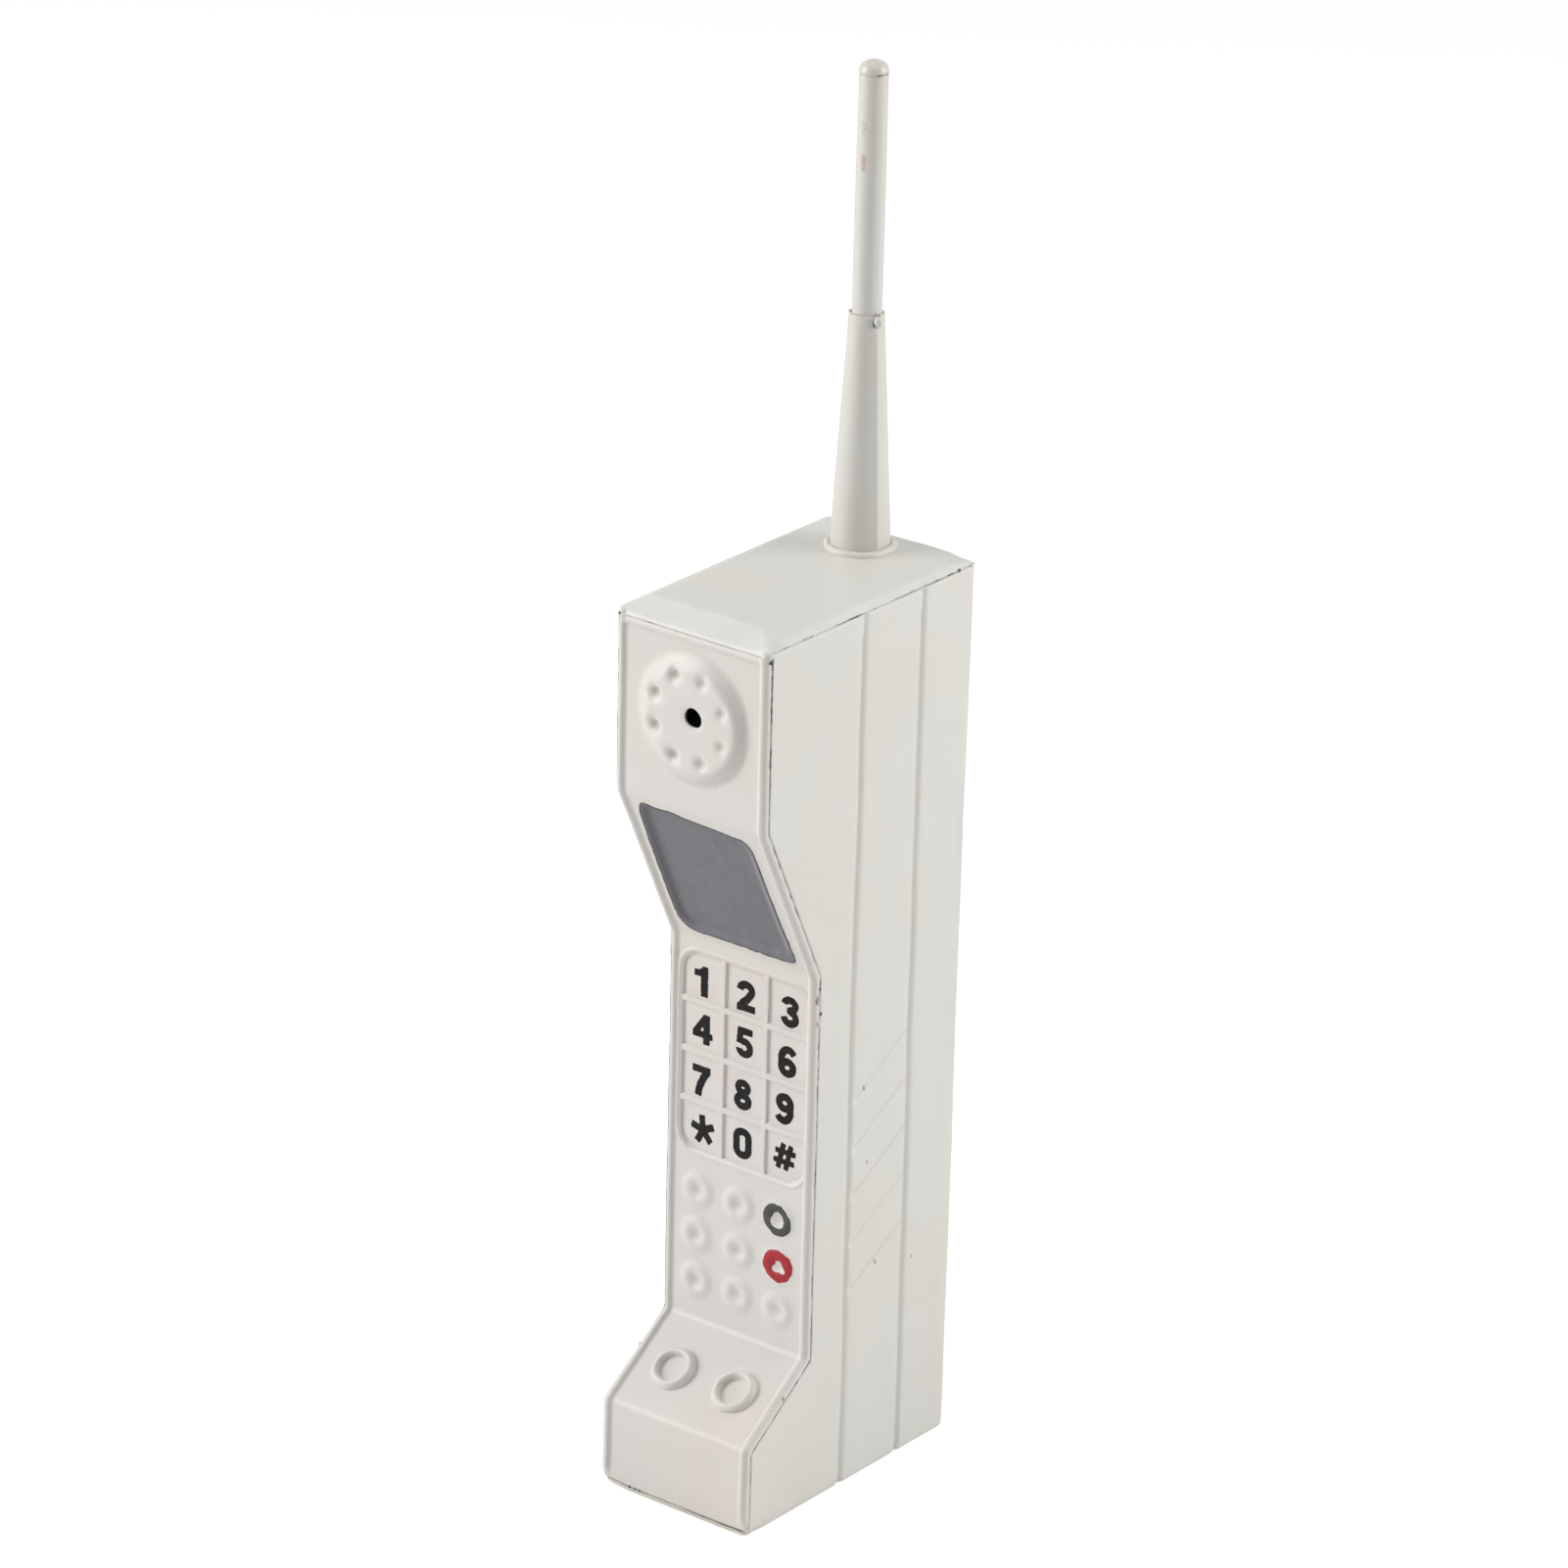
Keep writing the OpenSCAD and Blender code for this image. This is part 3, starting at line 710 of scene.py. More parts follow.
def film(name, colour, dark, rough=(0.42, 0.55), streak=(1, 1, 1), wear=0.0, edge=None,
         coat=0.15):
    """Brushed-on or printed paint."""
    net = Shader(name)
    brush = net.noise(0.9, detail=4.0, rough=0.65, stretch=streak)
    wide = net.noise(0.22, rough=0.6, stretch=streak)
    base = net.mix(net.ramp(brush, 0.32, 0.70), dark, colour)
    base = net.tint(base, colour, net.ramp(wide, 0.4, 0.7), amount=0.5)
    if wear:
        worn = net.ramp(net.noise(1.3, detail=4.0, rough=0.7), 0.66, 0.74)
        base = net.tint(base, CREAM, worn, amount=wear)
    if edge is not None:
        # painted highlight inside the display's right wall, then the dark edge, partly a painted
        # shadow line
        base = net.tint(base, srgb(156, 156, 162), net.attribute("painted_glint"), amount=0.8)
        base = net.mix(net.attribute("edge"), base, edge)
    net.put("Base Color", base)
    net.put("Roughness", net.ramp(net.noise(0.5), 0.3, 0.7, to_low=rough[0], to_high=rough[1]))
    net.put("Coat Weight", coat)
    net.put("Specular IOR Level", 0.5 if coat else 0.3)
    normal = net.bump(brush, distance=0.00004, strength=0.5)
    normal = net.bump(net.noise(2.2, detail=2.0), 0.00002, 0.4, normal)
    net.put("Normal", normal)
    return net.material


def seam_metal():
    """Solder, painted or bare as the mesh's bare attribute says."""
    net = Shader("seam_metal_and_paint")
    patches = net.noise(0.16, detail=5.0, rough=0.62)
    bare = net.attribute("bare")
    mask = net.ramp(net.math("ADD", net.centred(patches, 1.3), bare), 0.30, 0.75)
    # painted shade: the painted solder is greyed below the cream, as the shade of the seam it lies
    # in
    painted = net.mix(net.noise(0.6), srgb(196, 193, 187), srgb(222, 220, 214))
    metal = net.mix(net.noise(1.8), srgb(52, 51, 50), srgb(112, 111, 112))
    net.put("Base Color", net.mix(mask, painted, metal))
    net.put("Roughness", net.ramp(patches, 0.3, 0.7, to_low=0.32, to_high=0.55))
    net.put("Metallic", net.times(mask, 0.75))
    net.put("Normal", net.bump(net.noise(1.6, detail=4.0), distance=0.00008, strength=0.7))
    return net.material


def bare_steel():
    """Sheet steel with spots of rust."""
    net = Shader("bare_sheet_steel")
    colour = srgb(150, 146, 138)
    base = net.mix(net.noise(0.8, detail=4.0, rough=0.6), tuple(c * 0.6 for c in colour), colour)
    spots = net.ramp(net.noise(0.5, detail=5.0, rough=0.7), 0.52, 0.68)
    net.put("Base Color", net.tint(base, srgb(120, 84, 56), spots, amount=0.35))
    net.put("Roughness", net.ramp(spots, 0.0, 1.0, to_low=0.35, to_high=0.6))
    net.put("Metallic", net.ramp(spots, 0.0, 1.0, to_low=0.9, to_high=0.36))
    net.put("Normal", net.bump(net.noise(1.5, detail=4.0), distance=0.00005, strength=0.5))
    return net.material


def front_stain_and_pit_shade(net, base):
    """Pinkish bleed round the printed keys, and painted shade in the pits at the left of the ear
    disc.
    """
    z, y = net.axis(2), net.axis(1)
    keypad = net.times(net.ramp(z, 76.0, 79.0), net.ramp(z, 128.0, 124.0))
    keypad = net.times(keypad, net.ramp(y, EAR_Y + 20.2, EAR_Y + 20.5))
    stain = net.times(net.ramp(net.noise(0.16, rough=0.6), 0.50, 0.68), keypad)
    base = net.tint(base, srgb(238, 212, 208), stain, amount=0.26)
    x, z = net.axis(0), net.axis(2)
    # painted shade: the four pits on the ear disc's left are darkened
    for k in range(2, 6):
        pit_x = EAR[0] + PIT_RING_R * math.cos(PIT_ANGLES[k]) - HALF
        pit_down = EAR[1] + PIT_RING_R * math.sin(PIT_ANGLES[k])
        pit_z = FRONT_LINE[0][1] + FACE_DIR[0][1] * pit_down
        square_x = net.math("POWER", net.math("SUBTRACT", x, pit_x), 2.0)
        square_z = net.math("POWER", net.math("SUBTRACT", z, pit_z), 2.0)
        spot = net.ramp(net.math("ADD", square_x, square_z), 1.9, 0.25)
        base = net.tint(base, srgb(138, 130, 120), spot, amount=0.34 if k in (3, 4) else 0.2)
    return base


# specks on the right side: y behind the ear face, z, reach in y, reach in z, sRGB colour
SIDE_SPECKS = (
    (38.5, 97.0, 0.45, 0.9, (150, 84, 74)), (39.5, 78.5, 0.4, 0.6, (128, 92, 84)),
    (44.0, 52.0, 0.5, 0.9, (190, 140, 134)), (57.5, 48.5, 0.4, 0.55, (146, 96, 88)))


def side_marks(net, base):
    """Four small specks of red and brown on the right side."""
    x, y, z = net.axis(0), net.axis(1), net.axis(2)
    for at_y, at_z, wide, tall, colour in SIDE_SPECKS:
        spot = net.times(net.near(y, EAR_Y + at_y, wide), net.near(z, at_z, tall))
        spot = net.times(spot, net.ramp(x, HALF - 2, HALF - 1.4))
        ragged = net.centred(net.noise(1.6, rough=0.6), 1.1)
        spot = net.ramp(net.math("ADD", spot, ragged), 0.62, 0.85)
        base = net.tint(base, srgb(*colour), spot, amount=0.85)
    return base


def top_painted_highlight(net, base):
    """Painted highlight: the paint is whitened in patches on the front lip and along the rolled
    side edges.
    """
    patches = net.ramp(net.noise(0.12, rough=0.6), 0.30, 0.52, to_low=0.55, to_high=1.0)
    return net.tint(base, srgb(243, 242, 237), net.attribute("lip"), amount=patches)


def rod_chip_and_joint_shade(net, base):
    """A long chip through the paint to rusty metal, and painted shade at the joint under the tip.
    """
    z, x, y = net.axis(2), net.axis(0), net.axis(1)
    chip = net.times(net.near(z, at=302.6, reach=3.4), net.near(x, at=-3.1, reach=1.0))
    chip = net.times(chip, net.ramp(y, AERIAL_Y - 1.5, AERIAL_Y - 2.5))
    ragged = net.centred(net.noise(1.5, detail=4.0, rough=0.75), 2.4)
    bite = net.ramp(net.math("ADD", chip, ragged), 0.72, 0.96)
    base = net.tint(base, srgb(186, 154, 124), bite, amount=0.62)
    rub = net.times(net.near(z, at=310.2, reach=1.9), net.near(x, at=-3.2, reach=0.8))
    rub = net.times(net.times(rub, net.ramp(y, AERIAL_Y - 1.5, AERIAL_Y - 2.5)),
                    net.ramp(net.noise(1.3, rough=0.7), 0.42, 0.6))
    base = net.tint(base, srgb(176, 166, 150), rub, amount=0.6)
    # painted shade: a darker band round the joint between rod and tip
    joint = net.near(z, at=ROD_TOP_Z, reach=0.35)
    base = net.tint(base, srgb(150, 142, 130), joint, amount=0.22)
    # painted shade: a dark broken line in the gap under the tip, on its right side
    gap = net.times(net.near(z, at=ROD_TOP_Z + 0.12, reach=0.42),
                    net.ramp(x, AERIAL_X + 2.2, AERIAL_X + 2.7))
    gap = net.times(gap, net.ramp(net.noise(0.8, rough=0.6), 0.40, 0.56))
    return net.tint(base, srgb(84, 78, 70), gap, amount=0.7)


FRONT_PAINT = paint("cream_paint_front", seam=True, crease=True, marks=front_stain_and_pit_shade)
CASE_PAINT = paint("cream_paint_case", colour=srgb(231, 230, 225), seam=True, crease=True,
                   marks=side_marks)
TOP_PAINT = paint("cream_paint_top", colour=srgb(229, 229, 225), seam=True, marks=top_painted_highlight)
BASE_PAINT = paint("cream_paint_base", colour=srgb(226, 224, 216), rough=(0.36, 0.5))
SOLDER = seam_metal()
BLOB_PAINT = paint("solder_blob_painted", colour=srgb(226, 225, 220), rough=(0.24, 0.34))
GREY = film("grey_paint_display", srgb(122, 122, 128), srgb(117, 117, 123),
            rough=(0.44, 0.58), streak=(1.0, 0.10, 0.10), edge=srgb(30, 28, 28))
INK = film("black_ink", srgb(33, 30, 30), srgb(22, 20, 21), rough=(0.6, 0.8), wear=0.08,
           coat=0.0)
GREEN = film("green_paint", srgb(74, 78, 66), srgb(56, 60, 50))
RED = film("red_paint", srgb(188, 28, 46), srgb(166, 20, 38))
AERIAL_LOOK = dict(colour=srgb(227, 225, 219), rough=(0.16, 0.23), dents=0.3, grain=0.25,
                   coat=0.25)
SLEEVE_PAINT = paint("cream_paint_aerial", **AERIAL_LOOK)
ROD_PAINT = paint("cream_paint_rod", marks=rod_chip_and_joint_shade, **AERIAL_LOOK)
STEEL = bare_steel()

# ------------------------------------------------------------ front sheet: its grid

RIM_LINES = [0.05, 0.14, 0.28, 0.46, 0.68, 0.94, 1.24, 1.55, 1.8, 2.05, 2.3, 2.55]
BAR_LINES = (0.5, 0.6, 0.7, 0.82, 0.95, 1.08)
HOLE_LINES = (-3.2, -2.6, -2.05, -1.4, -0.7, 0, 0.7, 1.4, 2.05, 2.6, 3.2)
SCREEN_LINES = (0.0, 0.25, 0.45, 0.65, 0.85, 1.1)
KEY_LINES = (-0.35, -0.12, 0.0, 0.1, 0.22, 0.34, 0.5, 0.7, 1.0, 1.4, 1.8)
TOP_LINES = (0.1, 0.3, 0.55, 0.8, 1.1, 1.4, 1.75, 2.15)


def bar_lines(bars):
    return [bar + line * sign for bar in bars for line in BAR_LINES for sign in (-1, 1)]


def across_lines():
    special = [0.0] + RIM_LINES + [WIDTH - line for line in RIM_LINES] + bar_lines(BARS_ACROSS)
    key_edge = [KEYS[0] + line for line in KEY_LINES]
    special += key_edge + [WIDTH - edge + (KEYS[1] - (WIDTH - KEYS[0])) for edge in key_edge]
    special += [SCREEN[0] + line for line in SCREEN_LINES]
    special += [SCREEN[1] - line for line in SCREEN_LINES]
    special += [EAR_HOLE[0] + line for line in HOLE_LINES]
    return grid_lines(0.0, WIDTH, 0.42, special)


def down_lines():
    """Lines down each of the six faces."""
    ear = grid_lines(TOP_SEAM, FACE_LEN[0], 0.5, [TOP_SEAM + line for line in TOP_LINES]
                     + [EAR_HOLE[1] + line for line in HOLE_LINES])
    screen = grid_chain([0, 6.6, 37.8, FACE_LEN[1]], [0.26, 1.5, 0.26])
    key_ends = [2.0, 2.3, 2.6, 2.85, 3.1, 3.2, 3.3, 3.42, 3.54, 3.7,
                51.1, 51.26, 51.38, 51.5, 51.6, 51.7, 51.95, 52.2, 52.5, 52.8]
    keys = grid_chain([0, 7.9, 47, 53.5, 89.5, FACE_LEN[2]], [0.36, 1.0, 0.36, 0.5, 0.9],
                      key_ends + bar_lines(BARS_DOWN))
    plain = [grid_lines(0, FACE_LEN[3 + k], step) for k, step in enumerate((0.8, 1.0, 0.5))]
    return [ear, screen, keys] + plain


ACROSS = across_lines()
ROWS = front_rows(down_lines())[1:]
ROW_YZ, ROW_OUT, ROW_DIR = ROWS[:, 0:2], ROWS[:, 2:4], ROWS[:, 6:8]
ROW_FACE, ROW_DOWN = ROWS[:, 4].astype(int), ROWS[:, 5]
ROW_UNDER = ROW_FACE == UNDER_FACE
# columns turned in at each side: distance in from the side, height, seam value
SKIRT = ((0.45, -1.28, 0.0), (0.16, -1.12, 0.15), (0.03, -0.92, 0.4))
SKIRTS = len(SKIRT)


# ------------------------------------------------------------ front sheet: its shape


def ear_hole_radius(angle):
    return EAR_HOLE_R * (1 + 0.045 * np.sin(2 * angle + 0.9) + 0.03 * np.sin(3 * angle))


def front_grid():
    """Distances across and down for every point, and the cells left open for the ear hole."""
    insets = np.array([inset for inset, _, _ in SKIRT])
    line = np.concatenate([insets, ACROSS, (WIDTH - insets)[::-1]])
    across = np.tile(line, (len(ROWS), 1))
    down = np.tile(ROW_DOWN[:, None], (1, len(line)))
    ear = np.count_nonzero(ROW_FACE == EAR_FACE)
    dead = np.zeros((len(ROWS) - 1, len(line) - 1), bool)
    across[:ear], down[:ear], dead[:ear - 1] = round_hole(
        across[:ear], down[:ear], EAR_HOLE, square=2.05, radius_at=ear_hole_radius, blend=3.1)
    return across, down, dead


def front_heights(across, down, flat):
    """Heights of the outside and the inside of the sheet off its faces."""
    height = np.zeros(across.shape)
    for face in range(len(RELIEFS)):
        rows = ROW_FACE == face
        height[rows] = relief(face, across[rows], down[rows])
    height[:, SKIRTS:-SKIRTS] += front_waves(flat)[:, SKIRTS:-SKIRTS]
    # the fold under the base keeps flat
    foot = ROW_FACE == FOOT_FACE
    height[ROW_UNDER] = np.clip(height[ROW_UNDER], -0.55, 0.0)
    fade = smooth((FACE_LEN[FOOT_FACE] - 1.0 - down[foot]) / 3.0)
    low = np.where(height[foot] > 0, height[foot] * fade, height[foot])
    height[foot] = np.maximum(low, np.where(down[foot] > 18.5, -0.55, -2))
    inside = eroded(height, 4) - THICK
    for j, (_, skirt_height, _) in enumerate(SKIRT):
        height[:, [j, -1 - j]] = np.where(ROW_UNDER, -0.40, skirt_height)[:, None]
    inside[:, :SKIRTS + 1] = inside[:, -SKIRTS - 1:] = -1.42
    inside[ROW_UNDER, :] = -THICK
    return height, inside


def front_seam(across, down):
    """Distance to the nearest seam, brought near along the worn line of the left edge."""
    side = np.minimum(across, WIDTH - across)
    top = np.where(ROW_FACE[:, None] == EAR_FACE, down - TOP_SEAM + 0.45, 99)
    seam = np.minimum(side * 0.9 + 0.62, top)
    for j, (_, _, value) in enumerate(SKIRT):
        seam[:, [j, -1 - j]] = value
    z = ROW_YZ[:, 1:]
    wear = np.maximum(smooth((CASE_Z - 79 - z) / 3) * smooth((z - 33) / 4),
                      0.93 * smooth((z - CASE_Z + 46) / 10))
    return seam * (1 - 1.08 * bell(across - 0.66, 0.34, power=4) * wear)


def crease_shade_depth(height):
    """How far each point lies below its neighbourhood, which sets the painted shade in creases and
    recesses.
    """
    rows, cols = height.shape
    padded = np.pad(height, 3, mode="edge")
    mean = sum(padded[3 + a:3 + a + rows, 3 + b:3 + b + cols]
               for a in (-3, 0, 3) for b in (-3, 0, 3)) / 9
    crease = np.clip(mean - height, 0, 1)
    crease[:, :SKIRTS + 3] = crease[:, -SKIRTS - 3:] = 0
    return crease


def raised(flat, height):
    points = flat.copy()
    points[..., 1:] += ROW_OUT[:, None] * height[..., None]
    return points


def build_front():
    across, down, dead = front_grid()
    rows, cols = across.shape
    shift = down - ROW_DOWN[:, None]
    flat = np.empty((rows, cols, 3))
    flat[..., 0] = across - HALF
    flat[..., 1:] = ROW_YZ[:, None] + ROW_DIR[:, None] * shift[..., None]
    height, inside = front_heights(across, down, flat)
    outer, inner = raised(flat, height), raised(flat, inside)
    inner[..., 0] *= (HALF - 0.45) / HALF
    inner[..., 2] = np.maximum(inner[..., 2], 0.45)
    # the inner side keeps every third line, and all of them near the hole and the edges
    kept_rows = [i for i in range(rows) if i % 3 == 0 or i in (1, rows - 2, rows - 1)
                 or (ROW_FACE[i] == EAR_FACE and abs(ROW_DOWN[i] - EAR_HOLE[1]) < 2.2)
                 or ROW_UNDER[i]]
    kept_cols = [j for j in range(cols)
                 if j % 3 == 0 or j <= SKIRTS or j >= cols - 1 - SKIRTS
                 or abs(ACROSS[j - SKIRTS] - EAR_HOLE[0]) < 2.2]
    inner = warp(inner)[np.ix_(kept_rows, kept_cols)].reshape(-1, 3)
    count = len(inner)
    front = mesh_object(
        "front_sheet", both_sides(warp(outer), inner),
        coarse_faces(rows, cols, dead, kept_rows, kept_cols), FRONT_PAINT,
        {"seam": outer_values(front_seam(across, down), count, 5.0),
         "crease": outer_values(crease_shade_depth(height), count, 0.0)}, sharp=60)
    place(front, "front_panel")


# ------------------------------------------------------------ sides and back

GROOVES_Y = (EAR_Y + 33.2, EAR_Y + 54.2)        # upright grooves
SLANTS_Z = [47.2 + 11.75 * i for i in range(5)]  # front ends of the slanting ones
FIXED_Y = EAR_Y + 29.2                  # columns behind this are straight
CORNER_R = 1.3
# columns at the front edge: distance in along the side, tuck
EDGE_COLUMNS = ((0.0, 0.46), (0.16, 0.14), (0.38, 0.02), (0.7, 0), (1.2, 0), (2.2, 0))
GROOVE_LINES = (-2.4, -1.7, -1.2, -0.85, -0.55, -0.28, 0, 0.28, 0.55, 0.85, 1.2, 1.7, 2.4)


def wrap_heights():
    special = [0.0, 0.25, 0.6, 1.1] + [CASE_Z - d for d in (0.25, 0.6, 1.0, 1.5, 2.1, 3.0)]
    for bend_z in FRONT_LINE[1:5, 1]:
        special += [bend_z + d for d in (-3, -2, -1.3, -0.7, 0, 0.7, 1.3, 2, 3)]
    return grid_chain([0.05, 45, 108.5, CASE_Z], [2.6, 0.62, 3.4], special)


def wrap_columns(heights):
    """(x, y, normal x, normal y, seam distance) from the left front edge round to the right."""
    # the side sheets' front edge is the front's line moved in
    line = np.column_stack([ROW_YZ - ROW_OUT * 1.12, np.abs(ROW_OUT[:, 0])])
    line = line[~ROW_UNDER][::-1]
    rising = np.diff(np.maximum.accumulate(line[:, 1])) > 1e-6
    line = line[np.concatenate([[True], rising])]
    front_y = np.interp(heights, line[:, 1], line[:, 0])
    slope = np.maximum(np.interp(heights, line[:, 1], line[:, 2]), 0.35)
    half = [(HALF - tuck, front_y + inset / slope, 1, 0, inset + 0.05)
            for inset, tuck in EDGE_COLUMNS]
    start = front_y + EDGE_COLUMNS[-1][0] / slope
    half += [(HALF, start + (FIXED_Y - start) * t, 1, 0, 9.0) for t in np.linspace(0, 1, 9)[1:]]
    fixed = grid_lines(FIXED_Y, BACK_Y - CORNER_R, 2.6,
                       [groove + line_y for groove in GROOVES_Y for line_y in GROOVE_LINES])
    fixed = [y for y in fixed if not EAR_Y + 35.6 < y < EAR_Y + 51.8]
    fixed += list(np.arange(EAR_Y + 36.1, EAR_Y + 51.8, 0.6))
    half += [(HALF, y, 1, 0, 9.0) for y in sorted(fixed)[1:]]
    for turn in np.radians(np.linspace(0, 90, 8)[1:]):
        cos, sin = math.cos(turn), math.sin(turn)
        half.append((HALF - CORNER_R + CORNER_R * cos, BACK_Y - CORNER_R + CORNER_R * sin,
                     cos, sin, 9.0))
    left = [(-x, y, -out_x, out_y, seam) for x, y, out_x, out_y, seam in half]
    back = [(x, BACK_Y, 0, 1, 9.0)
            for x in np.linspace(-(HALF - CORNER_R), HALF - CORNER_R, 17)[1:-1]]
    return left + back + half[::-1]


def wrap_grooves(y, z):
    """Depth of the two upright grooves and the five slanting ones between them."""
    press = np.zeros(y.shape)
    for groove in GROOVES_Y:
        off = np.abs(y - groove + 0.12 * np.sin(z / 29 + groove))
        fade = 1 - 0.4 * smooth((z - CASE_Z + 2.0) / 2.0)
        press = np.maximum(press, 0.72 * bell(off, 0.80, power=2.2) * fade)
    for i, slant_z in enumerate(SLANTS_Z):
        start = np.array([GROOVES_Y[0] + 0.4, slant_z])
        run = np.array([GROOVES_Y[1], slant_z + 11.9]) - start
        length = np.linalg.norm(run)
        run_y, run_z = run / length
        along = (y - start[0]) * run_y + (z - start[1]) * run_z
        off = np.abs(-(y - start[0]) * run_z + (z - start[1]) * run_y)
        ends = smooth(along / 2.2) * smooth((length + 0.6 - along) / 1.5)
        depth = 0.64 - 0.05 * math.sin(2.0 * i)
        press = np.maximum(press, depth * bell(off, 0.92, power=2.2) * ends)
    return press


def build_wrap():
    heights = wrap_heights()
    columns = wrap_columns(heights)
    rows, cols = len(heights), len(columns)
    flat = np.zeros((rows, cols, 3))
    normal = np.zeros((rows, cols, 2))
    seam = np.zeros((rows, cols))
    for j, (col_x, col_y, out_x, out_y, col_seam) in enumerate(columns):
        flat[:, j, 0], flat[:, j, 1], seam[:, j] = col_x, col_y, col_seam
        normal[:, j] = out_x, out_y
    flat[..., 2] = heights[:, None]
    y, z = flat[..., 1], flat[..., 2]
    sides = np.abs(normal[..., 0]) > 0.99
    press = wrap_grooves(y, z) * sides
    roll = 0.16 * bell(z - (CASE_Z - 1.1), 0.6)
    tuck_top = 0.30 * smooth((z - (CASE_Z - 0.55)) / 0.55)
    tuck_low = 0.45 * (1 - smooth(z / 1.1)) ** 2
    bulge = waves(flat, 21, 46.0) * 0.10 + waves(flat, 22, 15.0) * 0.03
    bulge *= np.where(sides, 1, 0.5) * smooth(z / 12) * smooth((CASE_Z - z) / 12)
    edges = len(EDGE_COLUMNS)
    bulge[:, :edges] *= 0.2
    bulge[:, -edges:] *= 0.2
    lift = -press + roll - tuck_top - tuck_low + np.minimum(bulge, 0.12)
    drop = np.minimum(lift, 0) - (THICK + 0.25) + 0.2 * (z > CASE_Z - 0.6)
    outer, inner = flat.copy(), flat.copy()
    outer[..., :2] += normal * lift[..., None]
    inner[..., :2] += normal * drop[..., None]
    seam = np.minimum(seam, (CASE_Z - z) + 0.1)
    # painted shade in the grooves, darker where they are pressed deeper
    crease = np.clip(press * 0.5 - 0.10, 0, 1)
    wrap = mesh_object("side_and_back_wrap", both_sides(warp(outer), warp(inner)),
                       sheet_faces(rows, cols), CASE_PAINT,
                       {"seam": outer_values(seam, rows * cols, 5.0),
                        "crease": outer_values(crease, rows * cols, 0.0)}, sharp=60)
    place(wrap, "wrap_shell")


# ------------------------------------------------------------ top sheet

TOP_FRONT_Y = EAR_Y - 0.1               # the top sheet's front edge
MIDDLE_Y = (EAR_Y + BACK_Y) / 2
HALF_DEPTH = (BACK_Y - EAR_Y) / 2
TOP_EDGE_LINES = (0.0, 0.08, 0.2, 0.4, 0.65, 0.95, 1.3, 1.7, 2.2, 2.9)
AERIAL_LINES = (-9.5, -8.5, -7.5, -6.5, -5.6, -4.6, -3.4, -2.2, -1.1, 0,
                1.1, 2.2, 3.4, 4.6, 5.6, 6.5, 7.5, 8.5, 9.5)
# corners rounded in plan: side, y, radius
TOP_CORNERS = ((-1, BACK_Y, 1.5), (1, BACK_Y, 1.6), (-1, TOP_FRONT_Y, 0.7),
               (1, TOP_FRONT_Y, 1.0))


def lip_distance(x, y):
    """How far in front of the lip's crease a point is, and the lip's own depth there."""
    run = 9.8 - 8.7 * smoother((x - 9.0) / 12.5) - 0.7 * smoother((-x - 15) / 6)
    return (EAR_Y + run) - y, run


def top_height(x, y):
    """Height of the top sheet's upper side."""
    ahead, run = lip_distance(x, y)
    softened = np.clip(0.5 * (ahead + np.sqrt(ahead * ahead + 0.06)), 0, None)
    z = TOP_Z - 0.02 - np.minimum(1.06 * softened / np.maximum(run, 2.2), 1.0)
    z -= 0.17 * bell(ahead + 0.20, 0.62) - 0.10 * bell(ahead - 1.2, 0.9)
    z -= 0.80 * smoother((x - 12.2) / 9.0) * smoother((y - (BACK_Y - 8.5)) / 8.0)
    z += 0.22 * bell(x - 7.5, 6.5) * smooth((y - (BACK_Y - 15)) / 11)
    plan = np.stack([x, y], -1)
    return z + (waves(plan, 31, 30.0) * 0.05 + waves(plan, 32, 11.0) * 0.018 - 0.04)


def edge_fall(inset, radius, drop):
    """How far the sheet has fallen at a distance in from its edge."""
    t = np.clip(1 - inset / radius, 0, 1)
    return drop * (1 - np.sqrt(np.clip(1 - t * t, 0, 1)))


def top_surface():
    """The top sheet's upper points, and the cells left open under the aerial."""
    x_lines = grid_lines(-HALF, HALF, 1.05, [-HALF + line for line in TOP_EDGE_LINES]
                         + [HALF - line for line in TOP_EDGE_LINES]
                         + [AERIAL_X + line for line in AERIAL_LINES])
    y_lines = grid_lines(TOP_FRONT_Y, BACK_Y, 1.05,
                         [TOP_FRONT_Y + line for line in TOP_EDGE_LINES]
                         + [BACK_Y - line for line in TOP_EDGE_LINES]
                         + [AERIAL_Y + line for line in AERIAL_LINES]
                         + list(np.arange(EAR_Y + 2.5, EAR_Y + 12.2, 0.42)))
    x, y = np.meshgrid(x_lines, y_lines)
    x, y, dead = round_hole(x, y, (AERIAL_X, AERIAL_Y), square=5.6,
                            radius_at=lambda angle: 6.35, blend=2.6)
    z = top_height(x, np.clip(y, TOP_FRONT_Y, BACK_Y))
    from_side, from_front, from_back = HALF - np.abs(x), y - TOP_FRONT_Y, BACK_Y - y
    side_fall = edge_fall(from_side, 1.9, 1.0) * (0.55 + 0.45 * smooth(z - CASE_Z - 0.15))
    back_fall = edge_fall(from_back, 1.1, 0.85)
    front_fall = edge_fall(from_front, 1.0, 1.25)
    # a faint raised roll just inside each side edge
    z += (0.13 * bell(from_side - 2.3, 0.8) * smooth((from_front - 9) / 6)
          * smooth((from_back - 3) / 4))
    z = z - np.maximum(np.maximum(side_fall, back_fall), front_fall)
    z = np.maximum(z, CASE_Z + 0.32 - 1.15 * smooth(1.1 - from_front))
    for side, corner_y, radius in TOP_CORNERS:
        end = 1 if corner_y > 0 else -1
        centre_x, centre_y = side * (HALF - radius), corner_y - end * radius
        off_x, off_y = (x - centre_x) * side, (y - centre_y) * end
        corner = (off_x > 0) & (off_y > 0)
        scale = np.maximum(off_x, off_y) / (np.hypot(off_x, off_y) + 1e-9)
        x = np.where(corner, centre_x + side * off_x * scale, x)
        y = np.where(corner, centre_y + end * off_y * scale, y)
    return np.stack([x, y, z], -1), dead


